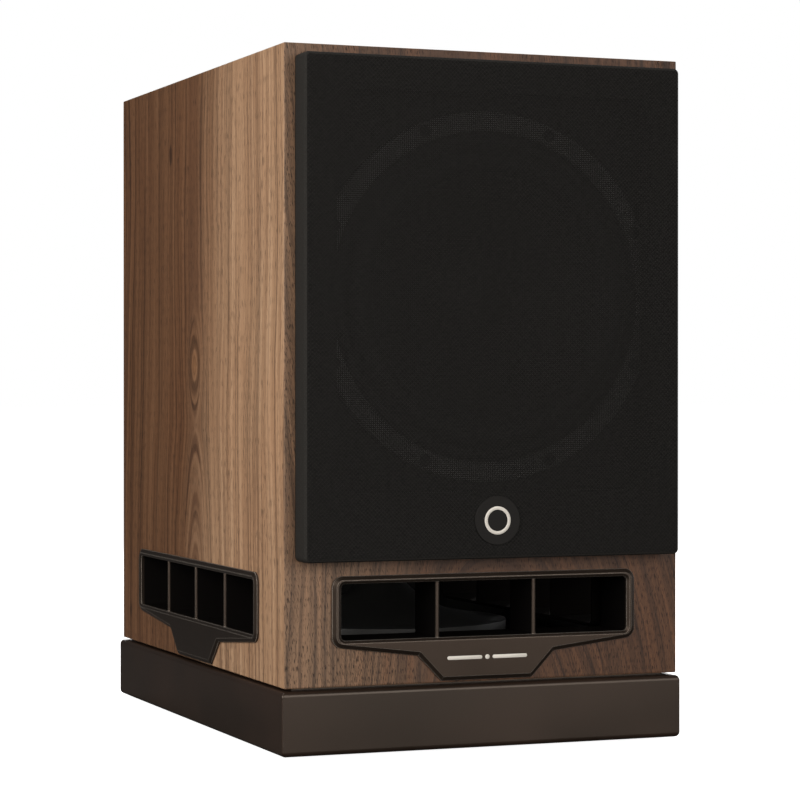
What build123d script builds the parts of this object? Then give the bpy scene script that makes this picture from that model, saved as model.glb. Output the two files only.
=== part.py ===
from build123d import *
import os
from math import acosh, radians, sin, sqrt

# A powered subwoofer, in millimetres. +Z is up and the driver faces -Y.
# The origin is the centre of the footprint, on the floor.

# Cabinet and plinth
CABINET_WIDTH = 305.0
CABINET_DEPTH = 416.0
CABINET_HEIGHT = 450.0
BOARD = 18.0
EDGE_EASE = 0.8
PLINTH_HEIGHT = 45.6
PLINTH_OVERHANG = 2.3
PLINTH_CORNER = 1.0
PLINTH_EASE = 3.5
SHADOW_GAP = 1.9
SHADOW_SETBACK = 8.0
FOOT_PROUD = 2.5
FOOT_LET_IN = 2.0
FOOT_RADIUS = 14.0
FOOT_SPACING_X = 240.0
FOOT_SPACING_Y = 350.0
PLINTH_SCREW_SPACING_X = 170.0
PLINTH_SCREW_SPACING_Y = 290.0
PLINTH_SCREW_RADIUS = 3.0
PLINTH_SCREW_LENGTH = 30.0
PLINTH_SCREW_SEAT = 30.0
PLINTH_HEAD_RADIUS = 5.2
PLINTH_HEAD_HEIGHT = 4.0
PLINTH_HEAD_SOCKET = 2.5
PLINTH_COUNTERBORE_RADIUS = 6.0
PLINTH_HOLE_RADIUS = 3.3
PILOT_FLOOR = 4.0

# Vents: heights are above the cabinet's bottom edge
VENT_TOP = 77.7
VENT_CORNER_HEIGHT = 28.0
VENT_KNEE_HEIGHT = 20.0
VENT_TAB_BOTTOM = 1.5
VENT_BAND = 6.4
VENT_PROUD = 3.1
VENT_OPEN_BOTTOM = 32.4
VENT_OPEN_TOP = 72.3
VENT_COLLAR_WALL = 2.5
VENT_COLLAR_DEPTH = 40.0
VENT_OUTER_BEVEL = (2.9, 1.5)
VENT_INNER_BEVEL = (2.1, 1.2)
VENT_PLATE_ROUND = 8.0
VENT_COLLAR_ROUND = 5.5
VENT_OPEN_ROUND = 3.0
FIN_THICKNESS = 3.0
FIN_NOSE_PROUD = 1.2
FRONT_VENT = {"half": 117.4, "knee": 52.7, "tab": 35.0, "fins": (-37.5, 37.5)}
SIDE_VENT = {"half": 153.1, "knee": 62.0, "tab": 42.0, "fins": (-73.0, 0.0, 73.0)}
FIT_GAP = 0.5

# Inside of the cabinet
SHELF_BOTTOM = 85.0
BRACE_Y = -65.0
PORT_THROAT = 38.0
PORT_WALL = 3.0
PORT_MOUTH_FLARE = 32.0
PORT_TOP_FLARE = 13.0
PORT_LENGTH = 157.0
PORT_FLANGE = 12.0
DIFFUSER_RADIUS = 92.0
DIFFUSER_HEIGHT = 58.0
DIFFUSER_EDGE = 91.5
DIFFUSER_TIP = 5.0
DIFFUSER_CROWN = 1.0
DIFFUSER_STATIONS = (DIFFUSER_EDGE, 75.0, 55.0, 35.0, 20.0, 10.0, DIFFUSER_TIP)
DIFFUSER_FLANGE = 10.0
DIFFUSER_FLANGE_RADIUS = 98.0
BRACE_WINDOW_WIDTH = 214.0
UPPER_WINDOW = {"middle": 300.0, "height": 210.0, "corner": 30.0}
LOWER_WINDOW = {"middle": 149.0, "height": 52.0, "corner": 20.0}
PAD_THICKNESS = 24.0
PAD_DEPTH = 160.0
PAD_Y = 32.0
PAD_CLEARANCE = 5.0
PAD_GAP = 2.0

# Driver: depths are behind the front face of the baffle, negative is proud of it
DRIVER_HEIGHT = 274.75
RING_RADIUS = 132.4
RING_BORE = 118.4
RING_EASE = 0.8
DRIVER_SCREW_CIRCLE = 126.0
DRIVER_SCREWS = 8
DRIVER_SCREW_START = 180.0 / DRIVER_SCREWS
DRIVER_SCREW_RADIUS = 2.4
DRIVER_HEAD_RADIUS = 4.2
DRIVER_HEAD_SOCKET = 2.0
DRIVER_SOCKET_DEPTH = 1.6
GASKET_HOLE_RADIUS = 3.0
FLANGE_HOLE_RADIUS = 2.8
RING_HOLE_RADIUS = 4.6
BAFFLE_HOLE = 118.5
REBATE_DEPTH = 4.0
FLANGE_FRONT = -1.2
FLANGE_BACK = 2.8
RING_FRONT = -3.7
DRIVER_SCREW_TIP = 14.0
BASKET_BORE = 108.0
BASKET_SKIRT_RADIUS = 116.5
BASKET_SKIRT_BACK = 12.0
BASKET_SEAT_INNER = 66.0
BASKET_SEAT_OUTER = 76.0
BASKET_FLOOR_BORE = 36.0
BASKET_FLOOR = 4.0
SPOKE_WIDTH = 14.0
ROLL_OUTER = 109.5
ROLL_INNER = 88.0
ROLL_THICKNESS = 1.2
ROLL_LIP = 5.0
CONE_THICKNESS = 1.5
CONE_LIP_THICKNESS = 1.9
CONE_NECK_THICKNESS = 2.4
CONE_NECK_DEPTH = 45.0
CAP_RADIUS = 33.0
CAP_RISE = 10.0
CAP_THICKNESS = 0.8
COIL_BORE = 24.4
FORMER_WALL = 0.4
COIL_WALL = 1.0
COIL_FRONT = 68.0
COIL_BACK = 100.0
SPIDER_RADIUS = 72.0
SPIDER_DEPTH = 62.0
SPIDER_THICKNESS = 0.8
SPIDER_INNER_FLAT = 2.0
SPIDER_OUTER_FLAT = 5.0
SPIDER_WAVES = 5
SPIDER_WAVE_HEIGHT = 2.2
SPIDER_STEPS = 40
MOTOR_FRONT = 80.0
FRONT_PLATE_THICKNESS = 8.0
MAGNET_THICKNESS = 15.0
FRONT_PLATE_RADIUS = 68.0
COIL_CLEARANCE = 0.6
MAGNET_RADIUS = 75.0
MAGNET_BORE = 40.0
MAGNET_JOINT = 0.2
YOKE_THICKNESS = 8.0
YOKE_RADIUS = 70.0
POLE_RADIUS = 23.8
POLE_BORE = 8.0
TERMINAL_RISE = 84.0
TERMINAL_BLOCK = (26.0, 6.0, 8.0)
TERMINAL_TAB = (6.3, 10.0, 0.8)
TERMINAL_TAB_X = 8.0
CABLE_RADIUS = 2.6

# Grille: it stands on the baffle
GRILLE_WIDTH = 289.3
GRILLE_BOTTOM = 88.5
GRILLE_TOP = 442.2
GRILLE_PROUD = 20.7
GRILLE_GAP = 0.4
GRILLE_CORNER = 3.8
GRILLE_NOSE = 2.5
CLOTH = 0.8
GRILLE_BAR = 22.8
GRILLE_WINDOW_BOTTOM = 136.0
GRILLE_WINDOW_ROUND = 20.0
GRILLE_RELIEF = 5.0
GRILLE_RELIEF_GAP = 1.5
MAGNET_DISC_RADIUS = 5.0
MAGNET_DISC = 3.0
MAGNET_COVER = 1.0
BADGE_RADIUS = 17.4
BADGE_HEIGHT = 115.8
BADGE_THICKNESS = 0.8
BADGE_ROUND = 0.35

# Amplifier on the rear board: places are (right, up) as seen from behind
AMP_WIDTH = 240.0
AMP_HEIGHT = 290.0
AMP_CENTRE = 240.0
AMP_PLATE = 2.5
AMP_CORNER = 6.0
AMP_BEVEL = 0.6
AMP_GASKET = 1.5
AMP_HOLE_WIDTH = 206.0
AMP_HOLE_HEIGHT = 256.0
AMP_HOLE_CORNER = 8.0
AMP_SCREWS = 10
AMP_SCREW_INSET = 16.0
AMP_SCREW_RADIUS = 2.1
AMP_SCREW_DEPTH = 12.0
AMP_SCREW_HOLE = 2.2
AMP_HEAD_RADIUS = 4.0
AMP_HEAD_HEIGHT = 2.4
AMP_HEAD_ROUND = 1.4
AMP_HEAD_SLOT = (3.2, 0.9)
AMP_SLOT_DEPTH = 1.2
POST_RADIUS = 3.5
POST_SPACING_X = 148.0
POST_SPACING_Y = 84.0
POST_LENGTH = 26.0
SINK_WIDTH = 190.0
SINK_HEIGHT = 88.0
SINK_CENTRE = AMP_CENTRE + 84.0
SINK_BASE = 4.0
SINK_FINS = 19
SINK_FIN_THICKNESS = 2.2
SINK_FIN_ROUND = 0.8
CIRCUIT_CENTRE = SINK_CENTRE - 20.0
CIRCUIT_WIDTH = 160.0
CIRCUIT_HEIGHT = 96.0
CIRCUIT_THICKNESS = 1.6
SMOOTHING_RADIUS = 14.0
SMOOTHING_HEIGHT = 40.0
SMALL_PART_RADIUS = 12.0
SMALL_PART_HEIGHT = 28.0
REAR_PROUD = GRILLE_PROUD + BADGE_THICKNESS
KNOB_RADIUS = 11.0
KNOB_HEIGHT = 14.0
KNOB_LIFT = 1.0
KNOB_FLUTES = 24
KNOB_FLUTE_RADIUS = 0.9
KNOB_FLUTE_CIRCLE = KNOB_RADIUS + 0.35
KNOB_HOLLOW = (6.0, 4.0)
KNOB_BORE_DEPTH = 12.0
KNOB_POINTER = (1.4, 6.0, 0.6)
KNOB_POINTER_OUT = 7.0
SHAFT_RADIUS = 3.0
SHAFT_IN = 8.0
SHAFT_LENGTH = AMP_PLATE + 20.0
PRESS_FIT = 0.01
POT_RADIUS = 8.5
POT_DEPTH = 10.0
BUSHING_RADIUS = 4.4
BUSHING_PROUD = 3.0
CONTROL_HOLE = 4.6
TOGGLE_HOLE = 3.6
LAMP_HOLE = 2.6
LEVEL_PLACE = (-78.0, AMP_CENTRE)
CROSSOVER_PLACE = (-28.0, AMP_CENTRE)
PHASE_PLACE = (20.0, AMP_CENTRE)
MODE_PLACE = (58.0, AMP_CENTRE)
LAMP_PLACE = (90.0, AMP_CENTRE)
SOCKET_PLACES = tuple((x, AMP_CENTRE - 57.0) for x in (-82.0, -56.0, -30.0))
ROCKER_PLACE = (60.0, AMP_CENTRE - 50.0)
INLET_PLACE = (60.0, AMP_CENTRE - 102.0)
TOGGLE_LEAN = 12.0
TOGGLE_BODY = (13.0, 16.0, 14.0)
TOGGLE_BUSHING_RADIUS = 3.5
TOGGLE_BUSHING_PROUD = 4.2
TOGGLE_NUT = (5.0, 1.8)
LEVER_LENGTH = 12.0
LEVER_ROOT_RADIUS = 1.2
LEVER_END_RADIUS = 1.9
LAMP_RADIUS = 2.5
LAMP_LENGTH = AMP_PLATE + 5.0
SOCKET_RADIUS = 4.15
SOCKET_PROUD = 10.2
SOCKET_BORE = (1.6, 9.0)
SOCKET_NUT = (6.5, 2.0)
ROCKER_LEAN = 9.0
ROCKER_WIDTH = 18.5
ROCKER_OPENING = (19.0, 27.0)
ROCKER_BODY = (22.0, 30.0, 16.0)
ROCKER_BEZEL = (25.0, 33.0, 2.2)
ROCKER_FLOOR = 2.0
INLET_FLANGE = (50.0, 42.0, 2.5)
INLET_BODY = (27.4, 36.4, 28.0)
INLET_CAVITY_RISE = 6.0
INLET_CAVITY_DEPTH = 18.0
INLET_PINS = ((-7.0, -2.0), (7.0, -2.0), (0.0, 3.0))
INLET_PIN = (2.0, 4.0, 14.0)
FUSE_DROP = 11.0
FUSE_TRAY = (24.0, 9.0, 25.0)
FUSE_HOLE_DEPTH = 26.0
FUSE_LID = (26.0, 11.0, 1.6)
RUNNING_GAP = 0.05

CABINET_Z = FOOT_PROUD + PLINTH_HEIGHT + SHADOW_GAP
SIDE_X = CABINET_WIDTH / 2
FRONT_Y = -CABINET_DEPTH / 2
REAR_Y = CABINET_DEPTH / 2

# Outer faces of the cabinet: local Y is the height above the cabinet's bottom edge
FRONT = Plane(origin=(0, FRONT_Y, CABINET_Z), x_dir=(1, 0, 0), z_dir=(0, -1, 0))
REAR = Plane(origin=(0, REAR_Y, CABINET_Z), x_dir=(-1, 0, 0), z_dir=(0, 1, 0))
LEFT = Plane(origin=(-SIDE_X, 0, CABINET_Z), x_dir=(0, -1, 0), z_dir=(-1, 0, 0))
RIGHT = Plane(origin=(SIDE_X, 0, CABINET_Z), x_dir=(0, 1, 0), z_dir=(1, 0, 0))
BOTTOM = Plane(origin=(0, 0, CABINET_Z))

# Half section of the driver: local X is the radius, local Y is the depth
DRIVER_CENTRE = (0, FRONT_Y, CABINET_Z + DRIVER_HEIGHT)
DRIVER_SECTION = Plane(origin=DRIVER_CENTRE, x_dir=(0, 0, 1), z_dir=(-1, 0, 0))
DRIVER_AXIS = Axis(DRIVER_CENTRE, (0, 1, 0))


def outside(face):
    """Direction that a cabinet face looks in, as an axis for sorting."""
    return Axis(face.origin, face.z_dir)


# ---------------------------------------------------------------- cabinet boards

with BuildPart() as carcass:
    with Locations((0, 0, CABINET_Z + CABINET_HEIGHT / 2)):
        Box(CABINET_WIDTH, CABINET_DEPTH, CABINET_HEIGHT)
    fillet(carcass.edges(), EDGE_EASE)
    with Locations((0, 0, CABINET_Z + CABINET_HEIGHT / 2)):
        Box(
            CABINET_WIDTH - 2 * BOARD,
            CABINET_DEPTH - 2 * BOARD,
            CABINET_HEIGHT - 2 * BOARD,
            mode=Mode.SUBTRACT,
        )


def mitred_board(outward):
    """The board of the carcass that faces outward, cut at 45 degrees along its four edges."""
    outward = Vector(outward)
    neighbours = [Vector(1, 0, 0), Vector(0, 1, 0), Vector(0, 0, 1)]
    neighbours += [-side for side in neighbours]
    with BuildPart() as board:
        add(carcass.part)
        for side in neighbours:
            if abs(side.dot(outward)) < 0.5:
                edge = outward + side
                corner = Vector(
                    edge.X * SIDE_X,
                    edge.Y * REAR_Y,
                    CABINET_Z + (1 + edge.Z) * CABINET_HEIGHT / 2,
                )
                split(bisect_by=Plane(origin=corner, z_dir=outward - side), keep=Keep.TOP)
    return board.part


def vent_hole(face, vent):
    """Outline of the hole that takes a vent bezel's collar."""
    spare = VENT_COLLAR_WALL + FIT_GAP
    with BuildSketch(face) as hole:
        with Locations((0, (VENT_OPEN_BOTTOM + VENT_OPEN_TOP) / 2)):
            RectangleRounded(
                2 * (vent["half"] - VENT_BAND + spare),
                VENT_OPEN_TOP - VENT_OPEN_BOTTOM + 2 * spare,
                VENT_BAND,
            )
    return hole.sketch


def at_amp_screws(plane, draw):
    """What draw adds, at each screw of the amplifier plate: four along a long side, three along a short."""
    with BuildSketch(plane) as places:
        with Locations((0, AMP_CENTRE)):
            with GridLocations(AMP_WIDTH - AMP_SCREW_INSET, (AMP_HEIGHT - AMP_SCREW_INSET) / 3, 2, 4):
                draw()
            with GridLocations(AMP_WIDTH - AMP_SCREW_INSET, AMP_HEIGHT - AMP_SCREW_INSET, 1, 2):
                draw()
    return places.sketch


def amp_screw_holes(plane, radius):
    """Circles at the screws of the amplifier plate."""
    return at_amp_screws(plane, lambda: Circle(radius))


def amp_screw_cross():
    """The cross slot of one of the amplifier's screws."""
    slot_length, slot_width = AMP_HEAD_SLOT
    Rectangle(slot_length, slot_width)
    Rectangle(slot_width, slot_length)


with BuildPart() as top_panel:
    add(mitred_board((0, 0, 1)))

with BuildPart() as base_panel:
    add(mitred_board((0, 0, -1)))
    with BuildSketch(BOTTOM):
        with GridLocations(PLINTH_SCREW_SPACING_X, PLINTH_SCREW_SPACING_Y, 2, 2):
            Circle(PLINTH_SCREW_RADIUS + RUNNING_GAP)
    extrude(amount=BOARD - PILOT_FLOOR, mode=Mode.SUBTRACT)

with BuildPart() as side_panel_left:
    add(mitred_board((-1, 0, 0)))
    extrude(vent_hole(LEFT, SIDE_VENT), amount=-BOARD, mode=Mode.SUBTRACT)

with BuildPart() as side_panel_right:
    add(mitred_board((1, 0, 0)))
    extrude(vent_hole(RIGHT, SIDE_VENT), amount=-BOARD, mode=Mode.SUBTRACT)

with BuildPart() as front_baffle:
    add(mitred_board((0, -1, 0)))
    extrude(vent_hole(FRONT, FRONT_VENT), amount=-BOARD, mode=Mode.SUBTRACT)
    with BuildSketch(FRONT):
        with Locations((0, DRIVER_HEIGHT)):
            Circle(RING_RADIUS + FIT_GAP)
    extrude(amount=-REBATE_DEPTH, mode=Mode.SUBTRACT)
    with BuildSketch(FRONT):
        with Locations((0, DRIVER_HEIGHT)):
            Circle(BAFFLE_HOLE)
            with PolarLocations(DRIVER_SCREW_CIRCLE, DRIVER_SCREWS, start_angle=DRIVER_SCREW_START):
                Circle(DRIVER_SCREW_RADIUS + RUNNING_GAP)
    extrude(amount=-BOARD, mode=Mode.SUBTRACT)
    # pockets bored from behind for the magnets that hold the grille
    with BuildSketch(FRONT.offset(-BOARD)):
        with Locations((0, (GRILLE_BOTTOM + GRILLE_TOP) / 2)):
            with GridLocations(
                GRILLE_WIDTH - GRILLE_BAR - CLOTH,
                GRILLE_TOP - GRILLE_BOTTOM - GRILLE_BAR - CLOTH,
                2,
                2,
            ):
                Circle(MAGNET_DISC_RADIUS + RUNNING_GAP)
    extrude(amount=BOARD - MAGNET_COVER, mode=Mode.SUBTRACT)

with BuildPart() as rear_panel:
    add(mitred_board((0, 1, 0)))
    with BuildSketch(REAR):
        with Locations((0, AMP_CENTRE)):
            RectangleRounded(AMP_HOLE_WIDTH, AMP_HOLE_HEIGHT, AMP_HOLE_CORNER)
    extrude(amount=-BOARD, mode=Mode.SUBTRACT)
    # close pilot holes for the amplifier's screws
    pilots = amp_screw_holes(REAR, AMP_SCREW_RADIUS + RUNNING_GAP)
    extrude(pilots, amount=-AMP_SCREW_DEPTH - 1, mode=Mode.SUBTRACT)

with BuildPart() as chamber_shelf:
    with BuildSketch(BOTTOM.offset(SHELF_BOTTOM)):
        Rectangle(CABINET_WIDTH - 2 * BOARD, CABINET_DEPTH - 2 * BOARD)
        Circle(PORT_THROAT + PORT_MOUTH_FLARE + FIT_GAP, mode=Mode.SUBTRACT)
    extrude(amount=BOARD)

with BuildPart() as window_brace:
    with BuildSketch(Plane.XZ.offset(-BRACE_Y - BOARD / 2)):
        with Locations((0, CABINET_Z + (SHELF_BOTTOM + CABINET_HEIGHT) / 2)):
            Rectangle(CABINET_WIDTH - 2 * BOARD, CABINET_HEIGHT - SHELF_BOTTOM - 2 * BOARD)
        for window in (UPPER_WINDOW, LOWER_WINDOW):
            with Locations((0, CABINET_Z + window["middle"])):
                RectangleRounded(BRACE_WINDOW_WIDTH, window["height"], window["corner"], mode=Mode.SUBTRACT)
    extrude(amount=BOARD)

with BuildPart() as damping_pads:
    pad_bottom = CABINET_Z + SHELF_BOTTOM + BOARD + PAD_CLEARANCE
    pad_height = CABINET_HEIGHT - SHELF_BOTTOM - 2 * BOARD - 2 * PAD_CLEARANCE
    pad_x = SIDE_X - BOARD - PAD_THICKNESS / 2
    pad_middle = pad_bottom + pad_height / 2
    with Locations((-pad_x, PAD_Y, pad_middle), (pad_x, PAD_Y, pad_middle)):
        Box(PAD_THICKNESS, PAD_DEPTH, pad_height)
    with Locations((0, PAD_Y, pad_bottom + pad_height - PAD_THICKNESS / 2 + PAD_CLEARANCE)):
        Box(2 * pad_x - PAD_THICKNESS - 2 * PAD_GAP, PAD_DEPTH, PAD_THICKNESS)


# ------------------------------------------------------------------------ vents

def vent_bezel(face, vent):
    """Moulded vent surround: a face plate with a bevelled rim and a tab, a collar and thin fins."""
    half, knee, tab = vent["half"], vent["knee"], vent["tab"]
    open_half = half - VENT_BAND
    open_height = VENT_OPEN_TOP - VENT_OPEN_BOTTOM
    open_middle = (VENT_OPEN_TOP + VENT_OPEN_BOTTOM) / 2
    with BuildPart() as bezel:
        with BuildSketch(face) as outline:
            with BuildLine():
                Polyline(
                    (-half, VENT_TOP),
                    (half, VENT_TOP),
                    (half, VENT_CORNER_HEIGHT),
                    (knee, VENT_KNEE_HEIGHT),
                    (tab, VENT_TAB_BOTTOM),
                    (-tab, VENT_TAB_BOTTOM),
                    (-knee, VENT_KNEE_HEIGHT),
                    (-half, VENT_CORNER_HEIGHT),
                    close=True,
                )
            make_face()
            ends = outline.vertices().group_by(Axis.X)
            fillet(ends[0] + ends[-1], VENT_PLATE_ROUND)
        extrude(amount=VENT_PROUD)
        plate_front = bezel.faces().sort_by(outside(face))[-1]
        chamfer(plate_front.edges(), *VENT_OUTER_BEVEL, reference=plate_front)
        with BuildSketch(face):
            with Locations((0, open_middle)):
                RectangleRounded(
                    2 * (open_half + VENT_COLLAR_WALL),
                    open_height + 2 * VENT_COLLAR_WALL,
                    VENT_COLLAR_ROUND,
                )
        extrude(amount=-VENT_COLLAR_DEPTH)
        with BuildSketch(face.offset(VENT_PROUD)):
            with Locations((0, open_middle)):
                RectangleRounded(2 * open_half, open_height, VENT_OPEN_ROUND)
        extrude(amount=-VENT_PROUD - VENT_COLLAR_DEPTH, mode=Mode.SUBTRACT)
        plate_front = bezel.faces().sort_by(outside(face))[-1]
        rim = plate_front.inner_wires()[0].edges()
        chamfer(rim, *VENT_INNER_BEVEL, reference=plate_front)
        # fins stand on the opening's floor, with round noses
        fin_length = VENT_COLLAR_DEPTH + FIN_NOSE_PROUD
        fin_plan = Plane(
            origin=face.from_local_coords((0, VENT_OPEN_BOTTOM, FIN_NOSE_PROUD)),
            x_dir=face.x_dir,
            z_dir=face.y_dir,
        )
        with BuildSketch(fin_plan):
            for place in vent["fins"]:
                with Locations((place, fin_length / 2)):
                    SlotOverall(fin_length, FIN_THICKNESS, rotation=90)
        extrude(amount=open_height)
    return bezel.part


with BuildPart() as front_vent_bezel:
    add(vent_bezel(FRONT, FRONT_VENT))

with BuildPart() as left_vent_bezel:
    add(vent_bezel(LEFT, SIDE_VENT))

with BuildPart() as right_vent_bezel:
    add(vent_bezel(RIGHT, SIDE_VENT))

# Half sections of the port and the diffuser: local X is the radius, local Y is the height
PORT_SECTION = Plane(origin=(0, 0, CABINET_Z), x_dir=(1, 0, 0), z_dir=(0, -1, 0))

with BuildPart() as port_tube:
    mouth = SHELF_BOTTOM - PORT_WALL
    straight_from = mouth + PORT_MOUTH_FLARE
    straight_to = mouth + PORT_LENGTH - PORT_TOP_FLARE
    mouth_radius = PORT_THROAT + PORT_MOUTH_FLARE
    with BuildSketch(PORT_SECTION):
        with BuildLine():
            CenterArc((mouth_radius, straight_from), PORT_MOUTH_FLARE, 180, 90)
            Line((PORT_THROAT, straight_from), (PORT_THROAT, straight_to))
            CenterArc((PORT_THROAT + PORT_TOP_FLARE, straight_to), PORT_TOP_FLARE, 90, 90)
            top_radius = PORT_THROAT + PORT_TOP_FLARE
            top = straight_to + PORT_TOP_FLARE
            Line((top_radius, top), (top_radius, top - PORT_WALL))
            CenterArc((top_radius, straight_to), PORT_TOP_FLARE - PORT_WALL, 90, 90)
            outer = PORT_THROAT + PORT_WALL
            Line((outer, straight_to), (outer, straight_from))
            # the outside of the flare ends in the flange that is glued under the shelf
            CenterArc((mouth_radius, straight_from), PORT_MOUTH_FLARE - PORT_WALL, 180, 90)
            Line((mouth_radius, SHELF_BOTTOM), (mouth_radius + PORT_FLANGE, SHELF_BOTTOM))
            Line((mouth_radius + PORT_FLANGE, SHELF_BOTTOM), (mouth_radius + PORT_FLANGE, mouth))
            Line((mouth_radius + PORT_FLANGE, mouth), (mouth_radius, mouth))
        make_face()
    revolve(axis=Axis.Z)


def tractrix(radius):
    """Height of the diffuser's flare at a radius: a tractrix scaled to end at the tip."""
    def height(r):
        return DIFFUSER_RADIUS * acosh(DIFFUSER_RADIUS / r) - sqrt(DIFFUSER_RADIUS**2 - r**2)

    return DIFFUSER_HEIGHT * height(radius) / height(DIFFUSER_TIP)


with BuildPart() as port_diffuser:
    foot = BOARD + DIFFUSER_FLANGE
    with BuildSketch(PORT_SECTION):
        with BuildLine():
            Spline(*[(radius, foot + tractrix(radius)) for radius in DIFFUSER_STATIONS])
            Polyline(
                (DIFFUSER_TIP, foot + DIFFUSER_HEIGHT),
                (0, foot + DIFFUSER_HEIGHT + DIFFUSER_CROWN),
                (0, BOARD),
                (DIFFUSER_FLANGE_RADIUS, BOARD),
                (DIFFUSER_FLANGE_RADIUS, foot),
                (DIFFUSER_EDGE, foot + tractrix(DIFFUSER_EDGE)),
            )
        make_face()
    revolve(axis=Axis.Z)


# ----------------------------------------------------------------------- plinth

PLINTH_WIDTH = CABINET_WIDTH + 2 * PLINTH_OVERHANG
PLINTH_DEPTH = CABINET_DEPTH + 2 * PLINTH_OVERHANG

with BuildPart() as plinth:
    with Locations((0, 0, FOOT_PROUD + PLINTH_HEIGHT / 2)):
        Box(PLINTH_WIDTH, PLINTH_DEPTH, PLINTH_HEIGHT)
    fillet(plinth.edges().filter_by(Axis.Z), PLINTH_CORNER)
    plinth_ends = plinth.faces().filter_by(Axis.Z)
    fillet(plinth_ends.edges(), PLINTH_EASE)
    with BuildSketch(Plane.XY.offset(FOOT_PROUD + PLINTH_HEIGHT)):
        Rectangle(CABINET_WIDTH - 2 * SHADOW_SETBACK, CABINET_DEPTH - 2 * SHADOW_SETBACK)
    extrude(amount=SHADOW_GAP)
    with BuildSketch(Plane.XY.offset(FOOT_PROUD)):
        with GridLocations(FOOT_SPACING_X, FOOT_SPACING_Y, 2, 2):
            Circle(FOOT_RADIUS + RUNNING_GAP)
    extrude(amount=FOOT_LET_IN, mode=Mode.SUBTRACT)
    with BuildSketch(Plane.XY.offset(FOOT_PROUD)):
        with GridLocations(PLINTH_SCREW_SPACING_X, PLINTH_SCREW_SPACING_Y, 2, 2):
            Circle(PLINTH_COUNTERBORE_RADIUS)
    extrude(amount=PLINTH_SCREW_SEAT, mode=Mode.SUBTRACT)
    with BuildSketch(Plane.XY.offset(FOOT_PROUD)):
        with GridLocations(PLINTH_SCREW_SPACING_X, PLINTH_SCREW_SPACING_Y, 2, 2):
            Circle(PLINTH_HOLE_RADIUS)
    extrude(amount=PLINTH_HEIGHT + SHADOW_GAP, mode=Mode.SUBTRACT)

with BuildPart() as plinth_screws:
    head_bottom = FOOT_PROUD + PLINTH_SCREW_SEAT - PLINTH_HEAD_HEIGHT
    with BuildSketch(Plane.XY.offset(head_bottom)):
        with GridLocations(PLINTH_SCREW_SPACING_X, PLINTH_SCREW_SPACING_Y, 2, 2):
            Circle(PLINTH_HEAD_RADIUS)
    extrude(amount=PLINTH_HEAD_HEIGHT)
    with BuildSketch(Plane.XY.offset(head_bottom)):
        with GridLocations(PLINTH_SCREW_SPACING_X, PLINTH_SCREW_SPACING_Y, 2, 2):
            RegularPolygon(PLINTH_HEAD_SOCKET, 6)
    extrude(amount=PLINTH_HEAD_SOCKET, mode=Mode.SUBTRACT)
    with BuildSketch(Plane.XY.offset(FOOT_PROUD + PLINTH_SCREW_SEAT)):
        with GridLocations(PLINTH_SCREW_SPACING_X, PLINTH_SCREW_SPACING_Y, 2, 2):
            Circle(PLINTH_SCREW_RADIUS)
    extrude(amount=PLINTH_SCREW_LENGTH)

with BuildPart() as feet:
    with BuildSketch(Plane.XY):
        with GridLocations(FOOT_SPACING_X, FOOT_SPACING_Y, 2, 2):
            Circle(FOOT_RADIUS)
    extrude(amount=FOOT_PROUD + FOOT_LET_IN)


# ----------------------------------------------------------------------- driver

def turned(*outline):
    """A body turned about the driver's axis from a closed outline of (radius, depth) points."""
    with BuildPart() as body:
        with BuildSketch(DRIVER_SECTION):
            with BuildLine():
                Polyline(*outline, close=True)
            make_face()
        revolve(axis=DRIVER_AXIS)
    return body.part


def ring(inner, outer, front, back):
    """A plain ring about the driver's axis between two depths."""
    return turned((inner, front), (outer, front), (outer, back), (inner, back))


def driver_screw_circles(depth, radius):
    """Circles on the driver's screw circle, at a depth behind the baffle's face."""
    with BuildSketch(FRONT.offset(-depth)) as holes:
        with Locations((0, DRIVER_HEIGHT)):
            with PolarLocations(DRIVER_SCREW_CIRCLE, DRIVER_SCREWS, start_angle=DRIVER_SCREW_START):
                Circle(radius)
    return holes.sketch


with BuildPart() as driver_gasket:
    add(ring(BAFFLE_HOLE - 1, RING_RADIUS - 0.4, FLANGE_BACK, REBATE_DEPTH))
    gasket_holes = driver_screw_circles(FLANGE_BACK, GASKET_HOLE_RADIUS)
    extrude(gasket_holes, amount=-REBATE_DEPTH, mode=Mode.SUBTRACT)

with BuildPart() as driver_basket:
    seat = SPIDER_DEPTH + SPIDER_THICKNESS
    add(ring(BASKET_BORE, RING_RADIUS - 0.2, FLANGE_FRONT, FLANGE_BACK))
    flange_holes = driver_screw_circles(FLANGE_FRONT, FLANGE_HOLE_RADIUS)
    extrude(flange_holes, amount=FLANGE_FRONT - FLANGE_BACK, mode=Mode.SUBTRACT)
    add(ring(BASKET_BORE, BASKET_SKIRT_RADIUS, FLANGE_BACK, BASKET_SKIRT_BACK))
    add(
        turned(
            (BASKET_SEAT_INNER, seat),
            (BASKET_SEAT_OUTER, seat),
            (BASKET_SEAT_OUTER, seat + 8),
            (BASKET_SEAT_OUTER - 5, MOTOR_FRONT),
            (BASKET_FLOOR_BORE, MOTOR_FRONT),
            (BASKET_FLOOR_BORE, MOTOR_FRONT - BASKET_FLOOR),
            (BASKET_SEAT_INNER - 4, MOTOR_FRONT - BASKET_FLOOR),
            (BASKET_SEAT_INNER, seat + 6),
        )
    )
    # one spoke, repeated round the axis
    with BuildSketch(DRIVER_SECTION.offset(-SPOKE_WIDTH / 2)):
        with BuildLine():
            Polyline((109, 8), (115.5, 8), (114, 24), (76, 76), (70, 76), (75, 62), (107, 20), close=True)
        make_face()
    spoke = extrude(amount=SPOKE_WIDTH, mode=Mode.PRIVATE)
    for number in range(DRIVER_SCREWS):
        add(spoke.rotate(DRIVER_AXIS, number * 360 / DRIVER_SCREWS))

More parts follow.
